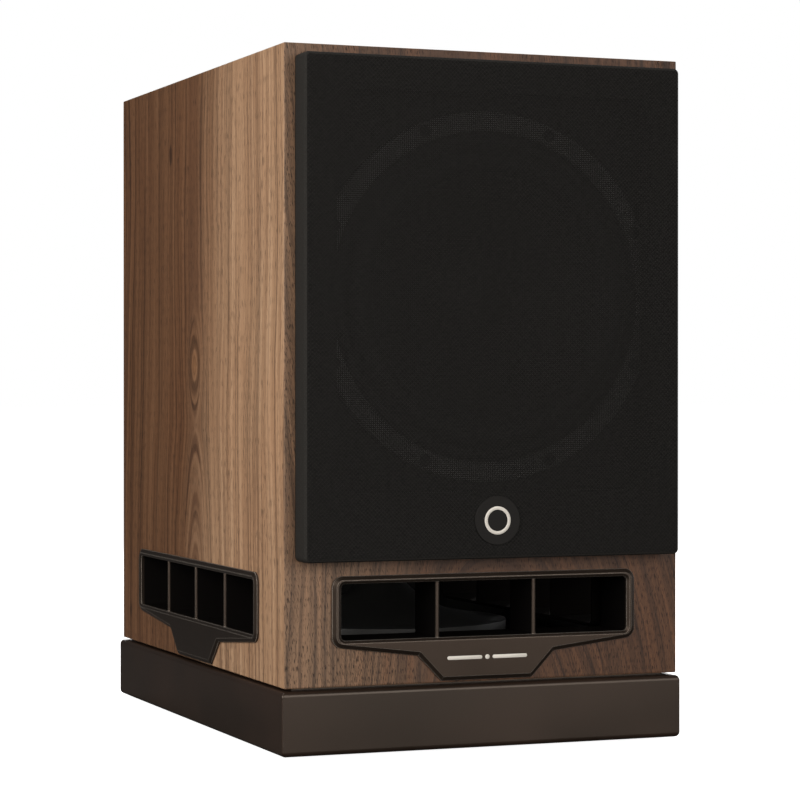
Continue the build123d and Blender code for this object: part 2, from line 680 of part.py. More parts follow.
with BuildPart() as driver_trim_ring:
    add(ring(RING_BORE, RING_RADIUS, RING_FRONT, FLANGE_FRONT))
    ring_front = driver_trim_ring.faces().sort_by(outside(FRONT))[-1]
    chamfer(ring_front.edges(), RING_EASE)
    ring_holes = driver_screw_circles(FLANGE_FRONT, RING_HOLE_RADIUS)
    extrude(ring_holes, amount=FLANGE_FRONT - RING_FRONT, mode=Mode.SUBTRACT)

with BuildPart() as driver_screws:
    shanks = driver_screw_circles(FLANGE_FRONT, DRIVER_SCREW_RADIUS)
    extrude(shanks, amount=FLANGE_FRONT - DRIVER_SCREW_TIP)
    extrude(driver_screw_circles(FLANGE_FRONT, DRIVER_HEAD_RADIUS), amount=FLANGE_FRONT - RING_FRONT)
    with BuildSketch(FRONT.offset(-RING_FRONT)):
        with Locations((0, DRIVER_HEIGHT)):
            with PolarLocations(DRIVER_SCREW_CIRCLE, DRIVER_SCREWS, start_angle=DRIVER_SCREW_START):
                RegularPolygon(DRIVER_HEAD_SOCKET, 6)
    extrude(amount=-DRIVER_SOCKET_DEPTH, mode=Mode.SUBTRACT)

LIP_FRONT = FLANGE_FRONT - ROLL_THICKNESS
ROLL_MIDDLE = (ROLL_OUTER + ROLL_INNER) / 2
ROLL_RADIUS = (ROLL_OUTER - ROLL_INNER) / 2
CONE_EDGE = ROLL_INNER - ROLL_LIP

with BuildPart() as driver_surround:
    with BuildSketch(DRIVER_SECTION):
        with BuildLine():
            Polyline(
                (ROLL_OUTER, FLANGE_FRONT),
                (RING_BORE - 0.4, FLANGE_FRONT),
                (RING_BORE - 0.4, LIP_FRONT),
                (ROLL_OUTER, LIP_FRONT),
            )
            ThreePointArc(
                (ROLL_OUTER, LIP_FRONT),
                (ROLL_MIDDLE, LIP_FRONT - ROLL_RADIUS),
                (ROLL_INNER, LIP_FRONT),
            )
            Polyline(
                (ROLL_INNER, LIP_FRONT),
                (CONE_EDGE, LIP_FRONT),
                (CONE_EDGE, FLANGE_FRONT),
                (ROLL_INNER, FLANGE_FRONT),
            )
            inner_roll = ROLL_RADIUS - ROLL_THICKNESS
            Line((ROLL_INNER, FLANGE_FRONT), (ROLL_MIDDLE - inner_roll, FLANGE_FRONT))
            ThreePointArc(
                (ROLL_MIDDLE - inner_roll, FLANGE_FRONT),
                (ROLL_MIDDLE, LIP_FRONT - inner_roll),
                (ROLL_MIDDLE + inner_roll, FLANGE_FRONT),
            )
            Line((ROLL_MIDDLE + inner_roll, FLANGE_FRONT), (ROLL_OUTER, FLANGE_FRONT))
        make_face()
    revolve(axis=DRIVER_AXIS)

FORMER_OUTER = COIL_BORE + FORMER_WALL
CONE_SLOPE = (CONE_NECK_DEPTH - FLANGE_FRONT) / (CONE_EDGE - FORMER_OUTER)

with BuildPart() as driver_cone:
    add(
        turned(
            (ROLL_INNER - 0.2, FLANGE_FRONT),
            (CONE_EDGE, FLANGE_FRONT),
            (FORMER_OUTER + RUNNING_GAP, CONE_NECK_DEPTH),
            (FORMER_OUTER + RUNNING_GAP, CONE_NECK_DEPTH + CONE_NECK_THICKNESS),
            (CONE_EDGE, FLANGE_FRONT + CONE_LIP_THICKNESS),
            (ROLL_INNER - 0.2, FLANGE_FRONT + CONE_THICKNESS),
        )
    )

CAP_SEAT = CONE_NECK_DEPTH - (CAP_RADIUS - FORMER_OUTER) * CONE_SLOPE - 0.2
CAP_SPHERE = (CAP_RADIUS**2 + CAP_RISE**2) / (2 * CAP_RISE)


def cap_depth(radius):
    """Depth of the dust cap's spherical front at a radius."""
    return CAP_SEAT - CAP_RISE + CAP_SPHERE - sqrt(CAP_SPHERE**2 - radius**2)


with BuildPart() as dust_cap:
    half_way = CAP_RADIUS / 2
    with BuildSketch(DRIVER_SECTION):
        with BuildLine():
            ThreePointArc((0, cap_depth(0)), (half_way, cap_depth(half_way)), (CAP_RADIUS, CAP_SEAT))
            Line((CAP_RADIUS, CAP_SEAT), (CAP_RADIUS - 2, cap_depth(CAP_RADIUS - 2) + CAP_THICKNESS))
            ThreePointArc(
                (CAP_RADIUS - 2, cap_depth(CAP_RADIUS - 2) + CAP_THICKNESS),
                (half_way, cap_depth(half_way) + CAP_THICKNESS),
                (0, cap_depth(0) + CAP_THICKNESS),
            )
            Line((0, cap_depth(0) + CAP_THICKNESS), (0, cap_depth(0)))
        make_face()
    revolve(axis=DRIVER_AXIS)

with BuildPart() as coil_former:
    add(ring(COIL_BORE, FORMER_OUTER, CONE_NECK_DEPTH - 1, COIL_BACK + 1))

with BuildPart() as voice_coil:
    add(ring(FORMER_OUTER, FORMER_OUTER + COIL_WALL, COIL_FRONT, COIL_BACK))

with BuildPart() as driver_spider:
    # flat at both edges, with waves between them
    wave_from = FORMER_OUTER + SPIDER_INNER_FLAT
    wave_to = SPIDER_RADIUS - SPIDER_OUTER_FLAT
    spider_back = SPIDER_DEPTH + SPIDER_THICKNESS
    wave = []
    for step in range(SPIDER_STEPS + 1):
        share = step / SPIDER_STEPS
        swing = SPIDER_WAVE_HEIGHT * sin(radians(360 * SPIDER_WAVES * share))
        wave.append((wave_from + (wave_to - wave_from) * share, SPIDER_DEPTH + swing))
    with BuildSketch(DRIVER_SECTION):
        with BuildLine():
            Polyline((wave_from, SPIDER_DEPTH), (FORMER_OUTER, SPIDER_DEPTH))
            Line((FORMER_OUTER, SPIDER_DEPTH), (FORMER_OUTER, spider_back))
            Line((FORMER_OUTER, spider_back), (wave_from, spider_back))
            Spline(*[(radius, depth + SPIDER_THICKNESS) for radius, depth in wave])
            Polyline(
                (wave[-1][0], spider_back),
                (SPIDER_RADIUS, spider_back),
                (SPIDER_RADIUS, SPIDER_DEPTH),
                (wave[-1][0], SPIDER_DEPTH),
            )
            Spline(*wave[::-1])
        make_face()
    revolve(axis=DRIVER_AXIS)

PLATE_BACK = MOTOR_FRONT + FRONT_PLATE_THICKNESS
YOKE_FRONT = PLATE_BACK + 2 * MAGNET_THICKNESS

with BuildPart() as driver_front_plate:
    add(ring(FORMER_OUTER + COIL_WALL + COIL_CLEARANCE, FRONT_PLATE_RADIUS, MOTOR_FRONT, PLATE_BACK))

with BuildPart() as driver_magnets:
    add(ring(MAGNET_BORE, MAGNET_RADIUS, PLATE_BACK, PLATE_BACK + MAGNET_THICKNESS - MAGNET_JOINT))
    add(ring(MAGNET_BORE, MAGNET_RADIUS, PLATE_BACK + MAGNET_THICKNESS, YOKE_FRONT))

with BuildPart() as driver_yoke:
    add(
        turned(
            (POLE_BORE, MOTOR_FRONT),
            (POLE_RADIUS, MOTOR_FRONT),
            (POLE_RADIUS, YOKE_FRONT),
            (YOKE_RADIUS, YOKE_FRONT),
            (YOKE_RADIUS, YOKE_FRONT + YOKE_THICKNESS),
            (POLE_BORE, YOKE_FRONT + YOKE_THICKNESS),
        )
    )

TERMINAL_Y = FRONT_Y + SPIDER_DEPTH + 8
TERMINAL_Z = CABINET_Z + DRIVER_HEIGHT + TERMINAL_RISE

with BuildPart() as driver_terminals:
    with Locations((0, TERMINAL_Y + 8, TERMINAL_Z)):
        Box(*TERMINAL_BLOCK)
    with Locations((0, TERMINAL_Y + 16, TERMINAL_Z)):
        with GridLocations(2 * TERMINAL_TAB_X, 0, 2, 1):
            Box(*TERMINAL_TAB)


# ----------------------------------------------------------------------- grille

GRILLE_HEIGHT = GRILLE_TOP - GRILLE_BOTTOM
GRILLE_MIDDLE = (GRILLE_TOP + GRILLE_BOTTOM) / 2


def grille_block(shrink):
    """The grille's rounded block, made smaller all round by shrink, standing on the baffle."""
    with BuildPart() as block:
        with BuildSketch(FRONT.offset(GRILLE_GAP)):
            with Locations((0, GRILLE_MIDDLE)):
                RectangleRounded(
                    GRILLE_WIDTH - 2 * shrink, GRILLE_HEIGHT - 2 * shrink, GRILLE_CORNER - shrink
                )
        extrude(amount=GRILLE_PROUD - GRILLE_GAP - shrink)
        nose = block.faces().sort_by(outside(FRONT))[-1]
        fillet(nose.edges(), GRILLE_NOSE - shrink)
    return block.part


def grille_magnet_places(plane):
    """Discs at the grille's four corners, centred on its bars."""
    with BuildSketch(plane) as places:
        with Locations((0, GRILLE_MIDDLE)):
            with GridLocations(
                GRILLE_WIDTH - GRILLE_BAR - CLOTH, GRILLE_HEIGHT - GRILLE_BAR - CLOTH, 2, 2
            ):
                Circle(MAGNET_DISC_RADIUS)
    return places.sketch


with BuildPart() as grille_cloth:
    add(grille_block(0))
    add(grille_block(CLOTH), mode=Mode.SUBTRACT)

with BuildPart() as grille_frame:
    add(grille_block(CLOTH + RUNNING_GAP))
    window_top = GRILLE_TOP - CLOTH - GRILLE_BAR
    window_height = window_top - GRILLE_WINDOW_BOTTOM
    with BuildSketch(FRONT):
        with Locations((0, GRILLE_WINDOW_BOTTOM + window_height / 2)):
            RectangleRounded(GRILLE_WIDTH - 2 * (GRILLE_BAR + CLOTH), window_height, GRILLE_WINDOW_ROUND)
    extrude(amount=GRILLE_PROUD, mode=Mode.SUBTRACT)
    # a round relief in the back of the frame clears the driver's ring
    with BuildSketch(FRONT):
        with Locations((0, DRIVER_HEIGHT)):
            Circle(RING_RADIUS + GRILLE_RELIEF_GAP)
    extrude(amount=GRILLE_RELIEF, mode=Mode.SUBTRACT)
    extrude(
        offset(grille_magnet_places(FRONT.offset(GRILLE_GAP)), RUNNING_GAP, mode=Mode.PRIVATE),
        amount=MAGNET_DISC,
        mode=Mode.SUBTRACT,
    )

with BuildPart() as grille_magnets:
    extrude(grille_magnet_places(FRONT.offset(GRILLE_GAP)), amount=MAGNET_DISC)

with BuildPart() as baffle_magnets:
    extrude(grille_magnet_places(FRONT.offset(-MAGNET_COVER)), amount=-MAGNET_DISC)

with BuildPart() as badge:
    with BuildSketch(FRONT.offset(GRILLE_PROUD)):
        with Locations((0, BADGE_HEIGHT)):
            Circle(BADGE_RADIUS)
    extrude(amount=BADGE_THICKNESS)
    badge_front = badge.faces().sort_by(outside(FRONT))[-1]
    fillet(badge_front.edges(), BADGE_ROUND)


# -------------------------------------------------------------------- amplifier

PLATE_IN = AMP_GASKET
PLATE_OUT = AMP_GASKET + AMP_PLATE
BEHIND_PLATE = REAR.offset(PLATE_IN - 0.2)


def panel_cuts(plane):
    """Openings in the amplifier plate for its controls and sockets."""
    with BuildSketch(plane) as cuts:
        with Locations(LEVEL_PLACE, CROSSOVER_PLACE):
            Circle(CONTROL_HOLE)
        with Locations(PHASE_PLACE, MODE_PLACE):
            Circle(TOGGLE_HOLE)
        with Locations(LAMP_PLACE):
            Circle(LAMP_HOLE)
        with Locations(*SOCKET_PLACES):
            Circle(CONTROL_HOLE)
        with Locations(ROCKER_PLACE):
            RectangleRounded(ROCKER_BODY[0] + 0.6, ROCKER_BODY[1] + 0.6, 1)
        with Locations(INLET_PLACE):
            RectangleRounded(INLET_BODY[0] + 0.6, INLET_BODY[1] + 0.6, 2)
    return cuts.sketch


with BuildPart() as amp_gasket:
    with BuildSketch(REAR):
        with Locations((0, AMP_CENTRE)):
            RectangleRounded(AMP_WIDTH - 1, AMP_HEIGHT - 1, AMP_CORNER - 0.5)
            RectangleRounded(
                AMP_HOLE_WIDTH + 2,
                AMP_HOLE_HEIGHT + 2,
                AMP_HOLE_CORNER + 1,
                mode=Mode.SUBTRACT,
            )
    extrude(amount=AMP_GASKET)
    extrude(amp_screw_holes(REAR, AMP_SCREW_HOLE + 0.1), amount=AMP_GASKET, mode=Mode.SUBTRACT)

with BuildPart() as amp_plate:
    with BuildSketch(REAR.offset(PLATE_IN)):
        with Locations((0, AMP_CENTRE)):
            RectangleRounded(AMP_WIDTH, AMP_HEIGHT, AMP_CORNER)
    extrude(amount=AMP_PLATE)
    plate_back = amp_plate.faces().sort_by(outside(REAR))[-1]
    chamfer(plate_back.edges(), AMP_BEVEL)
    # posts that carry the circuit board
    with BuildSketch(REAR.offset(PLATE_IN)):
        with Locations((0, CIRCUIT_CENTRE)):
            with GridLocations(POST_SPACING_X, POST_SPACING_Y, 2, 2):
                Circle(POST_RADIUS)
    extrude(amount=-POST_LENGTH)
    plate_holes = amp_screw_holes(REAR.offset(PLATE_IN), AMP_SCREW_HOLE)
    extrude(plate_holes, amount=AMP_PLATE, mode=Mode.SUBTRACT)
    extrude(panel_cuts(REAR.offset(PLATE_IN)), amount=AMP_PLATE, mode=Mode.SUBTRACT)

with BuildPart() as amp_heatsink:
    with BuildSketch(REAR.offset(PLATE_OUT)):
        with Locations((0, SINK_CENTRE)):
            Rectangle(SINK_WIDTH, SINK_HEIGHT)
    extrude(amount=SINK_BASE)
    with BuildSketch(REAR.offset(PLATE_OUT + SINK_BASE)):
        with Locations((0, SINK_CENTRE)):
            with GridLocations((SINK_WIDTH - SINK_FIN_THICKNESS) / (SINK_FINS - 1), 0, SINK_FINS, 1):
                Rectangle(SINK_FIN_THICKNESS, SINK_HEIGHT)
    extrude(amount=REAR_PROUD - PLATE_OUT - SINK_BASE)
    fin_tips = amp_heatsink.faces().sort_by(outside(REAR))[-SINK_FINS:]
    fillet(fin_tips.edges().filter_by(Axis.Z), SINK_FIN_ROUND)

with BuildPart() as amp_screws:
    shanks = amp_screw_holes(REAR.offset(PLATE_OUT), AMP_SCREW_RADIUS)
    extrude(shanks, amount=-PLATE_OUT - AMP_SCREW_DEPTH)
    extrude(amp_screw_holes(REAR.offset(PLATE_OUT), AMP_HEAD_RADIUS), amount=AMP_HEAD_HEIGHT)
    heads = amp_screws.faces().sort_by(outside(REAR))[-AMP_SCREWS:]
    fillet(heads.edges(), AMP_HEAD_ROUND)
    crosses = at_amp_screws(REAR.offset(PLATE_OUT + AMP_HEAD_HEIGHT), amp_screw_cross)
    extrude(crosses, amount=-AMP_SLOT_DEPTH, mode=Mode.SUBTRACT)

CIRCUIT_OUT = PLATE_IN - POST_LENGTH
CIRCUIT_IN = CIRCUIT_OUT - CIRCUIT_THICKNESS

with BuildPart() as amp_board:
    with BuildSketch(REAR.offset(CIRCUIT_OUT)):
        with Locations((0, CIRCUIT_CENTRE)):
            RectangleRounded(CIRCUIT_WIDTH, CIRCUIT_HEIGHT, 2)
    extrude(amount=-CIRCUIT_THICKNESS)

with BuildPart() as board_parts:
    # two tall smoothing capacitors, then a transformer and three chokes of one height
    with BuildSketch(REAR.offset(CIRCUIT_IN)):
        with Locations((-56, SINK_CENTRE), (-18, SINK_CENTRE)):
            Circle(SMOOTHING_RADIUS)
    extrude(amount=-SMOOTHING_HEIGHT)
    choke_row = SINK_CENTRE - 44
    with BuildSketch(REAR.offset(CIRCUIT_IN)):
        with Locations((32, SINK_CENTRE - 4)):
            RectangleRounded(40, 34, 2)
        with Locations((-40, choke_row), (0, choke_row), (60, choke_row)):
            Circle(SMALL_PART_RADIUS)
    extrude(amount=-SMALL_PART_HEIGHT)

with BuildPart() as control_pots:
    with BuildSketch(BEHIND_PLATE):
        with Locations(LEVEL_PLACE, CROSSOVER_PLACE):
            Circle(POT_RADIUS)
            Circle(SHAFT_RADIUS + RUNNING_GAP, mode=Mode.SUBTRACT)
    extrude(amount=-POT_DEPTH)
    with BuildSketch(BEHIND_PLATE):
        with Locations(LEVEL_PLACE, CROSSOVER_PLACE):
            Circle(BUSHING_RADIUS)
            Circle(SHAFT_RADIUS + RUNNING_GAP, mode=Mode.SUBTRACT)
    extrude(amount=AMP_PLATE + BUSHING_PROUD)


def control_shaft(place):
    """A plain shaft from inside the pot to inside the knob."""
    with BuildPart() as shaft:
        with BuildSketch(REAR.offset(PLATE_IN - SHAFT_IN)):
            with Locations(place):
                Circle(SHAFT_RADIUS)
        extrude(amount=SHAFT_LENGTH)
    return shaft.part


def control_knob(place):
    """A fluted knob, hollow over the shaft's bushing, with a groove as its pointer."""
    knob_foot = PLATE_OUT + KNOB_LIFT
    hollow_radius, hollow_depth = KNOB_HOLLOW
    pointer_width, pointer_length, pointer_depth = KNOB_POINTER
    with BuildPart() as knob:
        with BuildSketch(REAR.offset(knob_foot)):
            with Locations(place):
                Circle(KNOB_RADIUS)
                with PolarLocations(KNOB_FLUTE_CIRCLE, KNOB_FLUTES, start_angle=180 / KNOB_FLUTES):
                    Circle(KNOB_FLUTE_RADIUS, mode=Mode.SUBTRACT)
        extrude(amount=KNOB_HEIGHT)
        crown = knob.faces().sort_by(outside(REAR))[-1]
        chamfer(crown.edges(), 0.45)
        with BuildSketch(REAR.offset(knob_foot)):
            with Locations(place):
                Circle(hollow_radius)
        extrude(amount=hollow_depth, mode=Mode.SUBTRACT)
        with BuildSketch(REAR.offset(knob_foot)):
            with Locations(place):
                Circle(SHAFT_RADIUS + PRESS_FIT)
        extrude(amount=KNOB_BORE_DEPTH, mode=Mode.SUBTRACT)
        with BuildSketch(REAR.offset(knob_foot + KNOB_HEIGHT)):
            with Locations((place[0], place[1] + KNOB_POINTER_OUT)):
                Rectangle(pointer_width, pointer_length)
        extrude(amount=-pointer_depth, mode=Mode.SUBTRACT)
    return knob.part


with BuildPart() as level_shaft:
    add(control_shaft(LEVEL_PLACE))

with BuildPart() as level_knob:
    add(control_knob(LEVEL_PLACE))

with BuildPart() as crossover_shaft:
    add(control_shaft(CROSSOVER_PLACE))

with BuildPart() as crossover_knob:
    add(control_knob(CROSSOVER_PLACE))

TOGGLE_PIVOT = PLATE_OUT + 1

with BuildPart() as toggle_bodies:
    body_width, body_height, body_depth = TOGGLE_BODY
    nut_radius, nut_height = TOGGLE_NUT
    with BuildSketch(BEHIND_PLATE):
        with Locations(PHASE_PLACE, MODE_PLACE):
            RectangleRounded(body_width, body_height, 1)
    extrude(amount=-body_depth)
    with BuildSketch(BEHIND_PLATE):
        with Locations(PHASE_PLACE, MODE_PLACE):
            Circle(TOGGLE_BUSHING_RADIUS)
    extrude(amount=AMP_PLATE + TOGGLE_BUSHING_PROUD)
    with BuildSketch(REAR.offset(PLATE_OUT)):
        with Locations(PHASE_PLACE, MODE_PLACE):
            RegularPolygon(nut_radius, 6)
            Circle(TOGGLE_BUSHING_RADIUS, mode=Mode.SUBTRACT)
    extrude(amount=nut_height)
    # a cone-shaped mouth leaves room for the lever to swing
    for place in (PHASE_PLACE, MODE_PLACE):
        with Locations(REAR * Pos(place[0], place[1], TOGGLE_PIVOT + 1.5)):
            Cone(1.7, 3.2, 5, mode=Mode.SUBTRACT)


def toggle_lever(place, lean):
    """A tapered lever with a round end, leaning up from its pivot by an angle in degrees."""
    stand = REAR * Pos(place[0], place[1], TOGGLE_PIVOT) * Rot(-lean, 0, 0)
    with BuildPart() as lever:
        with Locations(stand * Pos(0, 0, LEVER_LENGTH / 2 + 0.5)):
            Cone(LEVER_ROOT_RADIUS, LEVER_END_RADIUS, LEVER_LENGTH)
        with Locations(stand * Pos(0, 0, LEVER_LENGTH + 0.5)):
            Sphere(LEVER_END_RADIUS + 0.02)
    return lever.part


with BuildPart() as phase_lever:
    add(toggle_lever(PHASE_PLACE, TOGGLE_LEAN))

with BuildPart() as mode_lever:
    add(toggle_lever(MODE_PLACE, 0))

with BuildPart() as status_lamp:
    with BuildSketch(REAR.offset(PLATE_IN - 4)):
        with Locations(LAMP_PLACE):
            Circle(LAMP_RADIUS)
    extrude(amount=LAMP_LENGTH)
    lens = status_lamp.faces().sort_by(outside(REAR))[-1]
    fillet(lens.edges(), 1.0)

with BuildPart() as line_sockets:
    nut_radius, nut_height = SOCKET_NUT
    bore_radius, bore_depth = SOCKET_BORE
    with BuildSketch(REAR.offset(PLATE_OUT + 0.2)):
        with Locations(*SOCKET_PLACES):
            RegularPolygon(nut_radius, 6)
    extrude(amount=nut_height)
    with BuildSketch(REAR.offset(PLATE_IN - SHAFT_IN)):
        with Locations(*SOCKET_PLACES):
            Circle(SOCKET_RADIUS)
    extrude(amount=AMP_PLATE + SHAFT_IN + SOCKET_PROUD)
    tips = line_sockets.faces().sort_by(outside(REAR))[-len(SOCKET_PLACES):]
    chamfer(tips.edges(), 0.4)
    with BuildSketch(REAR.offset(PLATE_OUT + SOCKET_PROUD)):
        with Locations(*SOCKET_PLACES):
            Circle(bore_radius)
    extrude(amount=-bore_depth, mode=Mode.SUBTRACT)

INLET_OUT = PLATE_OUT + INLET_FLANGE[2]
CAVITY_PLACE = (INLET_PLACE[0], INLET_PLACE[1] + INLET_CAVITY_RISE)
FUSE_PLACE = (INLET_PLACE[0], INLET_PLACE[1] - FUSE_DROP)

with BuildPart() as mains_inlet:
    flange_width, flange_height, flange_thickness = INLET_FLANGE
    body_width, body_height, body_depth = INLET_BODY
    tray_width, tray_height, tray_depth = FUSE_TRAY
    with BuildSketch(REAR.offset(PLATE_OUT)):
        with Locations(INLET_PLACE):
            RectangleRounded(flange_width, flange_height, 3)
    extrude(amount=flange_thickness)
    inlet_front = mains_inlet.faces().sort_by(outside(REAR))[-1]
    chamfer(inlet_front.edges(), 0.6)
    with BuildSketch(REAR.offset(PLATE_OUT)):
        with Locations(INLET_PLACE):
            RectangleRounded(body_width, body_height, 1.8)
    extrude(amount=-body_depth)
    # the plug's cavity has two cut corners
    with BuildSketch(REAR.offset(INLET_OUT)):
        with Locations(CAVITY_PLACE):
            Polygon((-12.2, -8), (12.2, -8), (12.2, 3), (7, 8), (-7, 8), (-12.2, 3))
    extrude(amount=-INLET_CAVITY_DEPTH, mode=Mode.SUBTRACT)
    with BuildSketch(REAR.offset(INLET_OUT)):
        with Locations(FUSE_PLACE):
            Rectangle(tray_width + 0.2, tray_height + 0.2)
    extrude(amount=-FUSE_HOLE_DEPTH, mode=Mode.SUBTRACT)

with BuildPart() as inlet_pins:
    pin_width, pin_height, pin_length = INLET_PIN
    with BuildSketch(REAR.offset(INLET_OUT - INLET_CAVITY_DEPTH)):
        with Locations(CAVITY_PLACE):
            with Locations(*INLET_PINS):
                Rectangle(pin_width, pin_height)
    extrude(amount=pin_length)

with BuildPart() as fuse_drawer:
    lid_width, lid_height, lid_thickness = FUSE_LID
    lid_in = INLET_OUT + 0.1
    with BuildSketch(REAR.offset(INLET_OUT)):
        with Locations(FUSE_PLACE):
            Rectangle(tray_width, tray_height)
    extrude(amount=-tray_depth)
    with BuildSketch(REAR.offset(lid_in)):
        with Locations(FUSE_PLACE):
            RectangleRounded(lid_width, lid_height, 1)
    extrude(amount=lid_thickness)
    # a thin neck joins the lid to the tray
    with Locations(REAR * Pos(FUSE_PLACE[0], FUSE_PLACE[1], INLET_OUT + 0.05)):
        Box(20, 7, 0.2)
    # finger notch and the trough that holds the fuse
    with BuildSketch(REAR.offset(lid_in + lid_thickness)):
        with Locations((FUSE_PLACE[0], FUSE_PLACE[1] + 4)):
            Rectangle(9, 2.4)
    extrude(amount=-lid_thickness / 2, mode=Mode.SUBTRACT)
    with Locations(REAR * Pos(FUSE_PLACE[0], FUSE_PLACE[1] + 2.5, PLATE_OUT - 12)):
        Box(21, 5.4, 6, mode=Mode.SUBTRACT)

with BuildPart() as rocker_housing:
    bezel_width, bezel_height, bezel_proud = ROCKER_BEZEL
    body_width, body_height, body_depth = ROCKER_BODY
    with BuildSketch(REAR.offset(PLATE_OUT)):
        with Locations(ROCKER_PLACE):
            RectangleRounded(bezel_width, bezel_height, 2)
            RectangleRounded(*ROCKER_OPENING, 0.6, mode=Mode.SUBTRACT)
    extrude(amount=bezel_proud)
    housing_front = rocker_housing.faces().sort_by(outside(REAR))[-1]
    chamfer(housing_front.outer_wire().edges(), 0.7)
    with BuildSketch(REAR.offset(PLATE_OUT)):
        with Locations(ROCKER_PLACE):
            Rectangle(body_width, body_height)
            Rectangle(*ROCKER_OPENING, mode=Mode.SUBTRACT)
    extrude(amount=-body_depth)
    with BuildSketch(REAR.offset(PLATE_OUT - body_depth)):
        with Locations(ROCKER_PLACE):
            Rectangle(body_width, body_height)
    extrude(amount=-ROCKER_FLOOR)

with BuildPart() as power_rocker:
    # side view of the rocker: two flats meet in a shallow valley above the pivot
    rocker_side = Plane(
        origin=(REAR * Pos(ROCKER_PLACE[0] - ROCKER_WIDTH / 2, ROCKER_PLACE[1], PLATE_OUT)).position,
        x_dir=(0, 0, 1),
        z_dir=(-1, 0, 0),
    ) * Rot(0, 0, ROCKER_LEAN)
    with BuildSketch(rocker_side) as rocker_outline:
        with BuildLine():
            Polyline(
                (-12.6, 4.8),
                (0, 2.6),
                (12.6, 4.8),
                (12.2, -3),
                (4, -8),
                (-4, -8),
                (-12.2, -3),
                close=True,
            )
        make_face()
        fillet(rocker_outline.vertices().group_by(Axis.Y)[-1], 0.8)
    extrude(amount=ROCKER_WIDTH)

CABLE_START = (0, TERMINAL_Y + 24, TERMINAL_Z)
CABLE_END = (0, REAR_Y + CIRCUIT_IN - 3, CABINET_Z + SINK_CENTRE - 4)

with BuildPart() as driver_cable:
    with BuildLine():
        Spline(
            CABLE_START,
            (0, BRACE_Y, TERMINAL_Z - 4),
            (0, 60, TERMINAL_Z + 4),
            CABLE_END,
            tangents=((0, 1, 0), (0, 1, 0)),
        )
    with BuildSketch(Plane(origin=CABLE_START, z_dir=(0, 1, 0))):
        Circle(CABLE_RADIUS)
    sweep()


# ------------------------------------------------------------------------ output

finished = {
    "top_panel": top_panel,
    "base_panel": base_panel,
    "side_panel_left": side_panel_left,
    "side_panel_right": side_panel_right,
    "front_baffle": front_baffle,
    "rear_panel": rear_panel,
    "chamber_shelf": chamber_shelf,
    "window_brace": window_brace,
    "damping_pads": damping_pads,
    "front_vent_bezel": front_vent_bezel,
    "left_vent_bezel": left_vent_bezel,
    "right_vent_bezel": right_vent_bezel,
    "port_tube": port_tube,
    "port_diffuser": port_diffuser,
    "plinth": plinth,
    "plinth_screws": plinth_screws,
    "feet": feet,
    "driver_gasket": driver_gasket,
    "driver_basket": driver_basket,
    "driver_trim_ring": driver_trim_ring,
    "driver_screws": driver_screws,
    "driver_surround": driver_surround,
    "driver_cone": driver_cone,
    "dust_cap": dust_cap,
    "coil_former": coil_former,
    "voice_coil": voice_coil,
    "driver_spider": driver_spider,
    "driver_front_plate": driver_front_plate,
    "driver_magnets": driver_magnets,
    "driver_yoke": driver_yoke,
    "driver_terminals": driver_terminals,
    "driver_cable": driver_cable,
    "grille_frame": grille_frame,
    "grille_cloth": grille_cloth,
    "grille_magnets": grille_magnets,
    "baffle_magnets": baffle_magnets,
    "badge": badge,
    "amp_plate": amp_plate,
    "amp_gasket": amp_gasket,
    "amp_heatsink": amp_heatsink,
    "amp_screws": amp_screws,
    "amp_board": amp_board,
    "board_parts": board_parts,
    "control_pots": control_pots,
    "level_shaft": level_shaft,
    "level_knob": level_knob,
    "crossover_shaft": crossover_shaft,
    "crossover_knob": crossover_knob,
    "toggle_bodies": toggle_bodies,
    "phase_lever": phase_lever,
    "mode_lever": mode_lever,
    "status_lamp": status_lamp,
    "line_sockets": line_sockets,
    "mains_inlet": mains_inlet,
    "inlet_pins": inlet_pins,
    "fuse_drawer": fuse_drawer,
    "rocker_housing": rocker_housing,
    "power_rocker": power_rocker,
}

os.makedirs("parts", exist_ok=True)
for name, piece in finished.items():
    piece.part.label = name
    export_step(piece.part, f"parts/{name}.step")
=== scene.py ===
import math

import bmesh
import bpy
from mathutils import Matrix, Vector, noise


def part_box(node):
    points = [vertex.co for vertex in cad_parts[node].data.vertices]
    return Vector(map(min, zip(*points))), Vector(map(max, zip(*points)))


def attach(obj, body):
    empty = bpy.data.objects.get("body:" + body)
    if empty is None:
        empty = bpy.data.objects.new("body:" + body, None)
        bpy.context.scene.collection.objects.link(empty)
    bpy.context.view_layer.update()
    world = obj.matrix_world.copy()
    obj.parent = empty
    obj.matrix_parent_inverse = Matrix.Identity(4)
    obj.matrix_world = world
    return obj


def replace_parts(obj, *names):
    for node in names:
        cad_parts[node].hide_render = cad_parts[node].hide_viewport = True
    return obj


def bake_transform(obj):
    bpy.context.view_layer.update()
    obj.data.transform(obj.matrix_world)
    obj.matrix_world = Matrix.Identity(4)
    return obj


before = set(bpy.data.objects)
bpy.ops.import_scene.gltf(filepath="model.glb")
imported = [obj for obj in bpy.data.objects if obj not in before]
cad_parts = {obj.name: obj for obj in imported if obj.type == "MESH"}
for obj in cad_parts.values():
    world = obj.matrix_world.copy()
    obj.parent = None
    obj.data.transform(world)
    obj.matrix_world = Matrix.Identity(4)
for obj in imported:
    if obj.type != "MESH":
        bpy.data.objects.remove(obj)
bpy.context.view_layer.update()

MM = 0.001
scene = bpy.context.scene


# ------------------------------------------------------------------ node materials
def rgb(code):
    """Linear colour from a display colour such as 'a08060'."""
    channels = [int(code[i : i + 2], 16) / 255 for i in (0, 2, 4)]
    linear = [c / 12.92 if c <= 0.04045 else ((c + 0.055) / 1.055) ** 2.4 for c in channels]
    return (*linear, 1.0)


